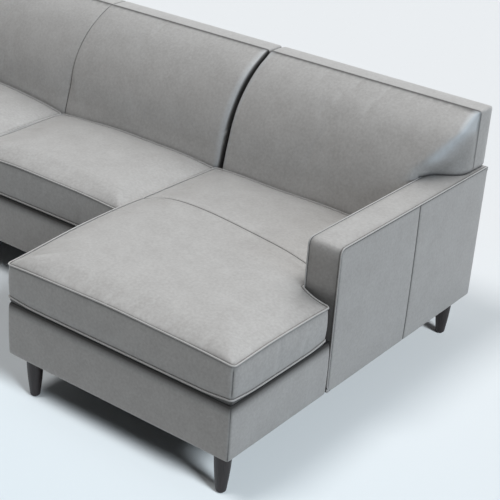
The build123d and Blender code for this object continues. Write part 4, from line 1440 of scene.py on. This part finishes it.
class SECTIONAL_OT_back_shells(bpy.types.Operator):
    """Top band, ends and outside of the backs"""

    bl_idname = "sectional.back_shells"
    bl_label = "Back shells"

    corner_radius = 0.010
    # Painted shade in the fold along the pads, ring by ring
    fold_shades = (1, 0.8, 0.1)

    def execute(self, context):
        for module in (SOFA, CHAISE):
            self.make_shell(module)
        return {"FINISHED"}

    def make_shell(self, module):
        gap = 0.6 * MM
        inner = module.arm_inner - module.side * gap
        shelf = module.arm_top + gap
        outline = [(module.base_low, module.open_end), (module.back_top, module.open_end),
                   (module.back_top, module.back_end), (shelf, module.back_end), (shelf, inner),
                   (module.base_low, inner)]
        deep = module.rear - module.box_front
        steps = [(0.0, 0.0022), (0.0008, 0.0006), (0.0024, 0.0), (0.006, -0.0002), (0.022, -0.0008),
                 (deep / 2, -0.0014), (deep - 0.024, -0.0006), (deep - 0.011, 0.0005), (deep - 0.0035, 0.004),
                 (deep, 0.011)]
        levels = [(module.box_front + w, inset) for w, inset in steps]
        seams = (SEAT_SPLIT,) if module is SOFA else ()
        block = padded_block(outline, self.corner_radius, levels, TURNED["back"], sizes().cell * PLAIN_PANEL,
                             edge_steps=(0.003, 0.008, 0.016), seams_b=seams)
        for seam in seams:
            press_seam(block, block.co[:, X] - seam, np.ones(len(block.co), bool), depth=0.002)
        for ring, share in zip(block.rings, self.fold_shades):
            block.seam[ring] = 0.9 * share
        # Painted shade along the band's foot where it sits on the arm
        past_arm = module.side * (block.co[:, X] - module.arm_inner) > 0
        on_arm = np.interp(block.co[:, Z] - shelf, (0, 0.003, 0.008), (0.9, 0.7, 0))
        block.seam = np.maximum(block.seam, np.where(past_arm, on_arm, 0))
        nodes = [f"{module.name}_back_band", f"{module.name}_outside_back"]
        add_leather(f"{module.name}_back_leather", block, module.name, nodes)


class SECTIONAL_OT_frame_finishes(bpy.types.Operator):
    """Finishes for the legs, frames, springs and fittings that stay as the CAD made them"""

    bl_idname = "sectional.frame_finishes"
    bl_label = "Frame finishes"

    def execute(self, context):
        for entry in frame["record"]["subparts"]:
            material = bpy.data.materials[SLOT_FINISHES[entry["material_slot"]]]
            mesh = frame["nodes"][entry["node"]].data
            mesh.materials.clear()
            mesh.materials.append(material)
        return {"FINISHED"}


class SECTIONAL_PT_panel(bpy.types.Panel):
    """Sizes, finishes and steps of the sectional"""

    bl_idname = "SECTIONAL_PT_panel"
    bl_label = "Leather Sectional"
    bl_space_type = "VIEW_3D"
    bl_region_type = "UI"
    bl_category = "Sectional"

    def draw(self, context):
        for group in (context.scene.sectional_sizes, context.scene.sectional_colours):
            for name in group.__annotations__:
                self.layout.prop(group, name)
        for step in STEPS:
            self.layout.operator(step.bl_idname)


STEPS = (
    SECTIONAL_OT_stage,
    SECTIONAL_OT_seat_cushions,
    SECTIONAL_OT_back_pads,
    SECTIONAL_OT_arms,
    SECTIONAL_OT_bases,
    SECTIONAL_OT_back_shells,
    SECTIONAL_OT_frame_finishes,
)
CLASSES = (SectionalSizes, SectionalColours, *STEPS, SECTIONAL_PT_panel)


def register():
    for item in CLASSES:
        bpy.utils.register_class(item)
    bpy.types.Scene.sectional_sizes = PointerProperty(type=SectionalSizes)
    bpy.types.Scene.sectional_colours = PointerProperty(type=SectionalColours)


def unregister():
    del bpy.types.Scene.sectional_colours
    del bpy.types.Scene.sectional_sizes
    for item in reversed(CLASSES):
        bpy.utils.unregister_class(item)


def main():
    register()
    bpy.ops.sectional.stage()
    bpy.ops.sectional.seat_cushions()
    bpy.ops.sectional.back_pads()
    bpy.ops.sectional.arms()
    bpy.ops.sectional.bases()
    bpy.ops.sectional.back_shells()
    bpy.ops.sectional.frame_finishes()


if __name__ == "__main__":
    main()
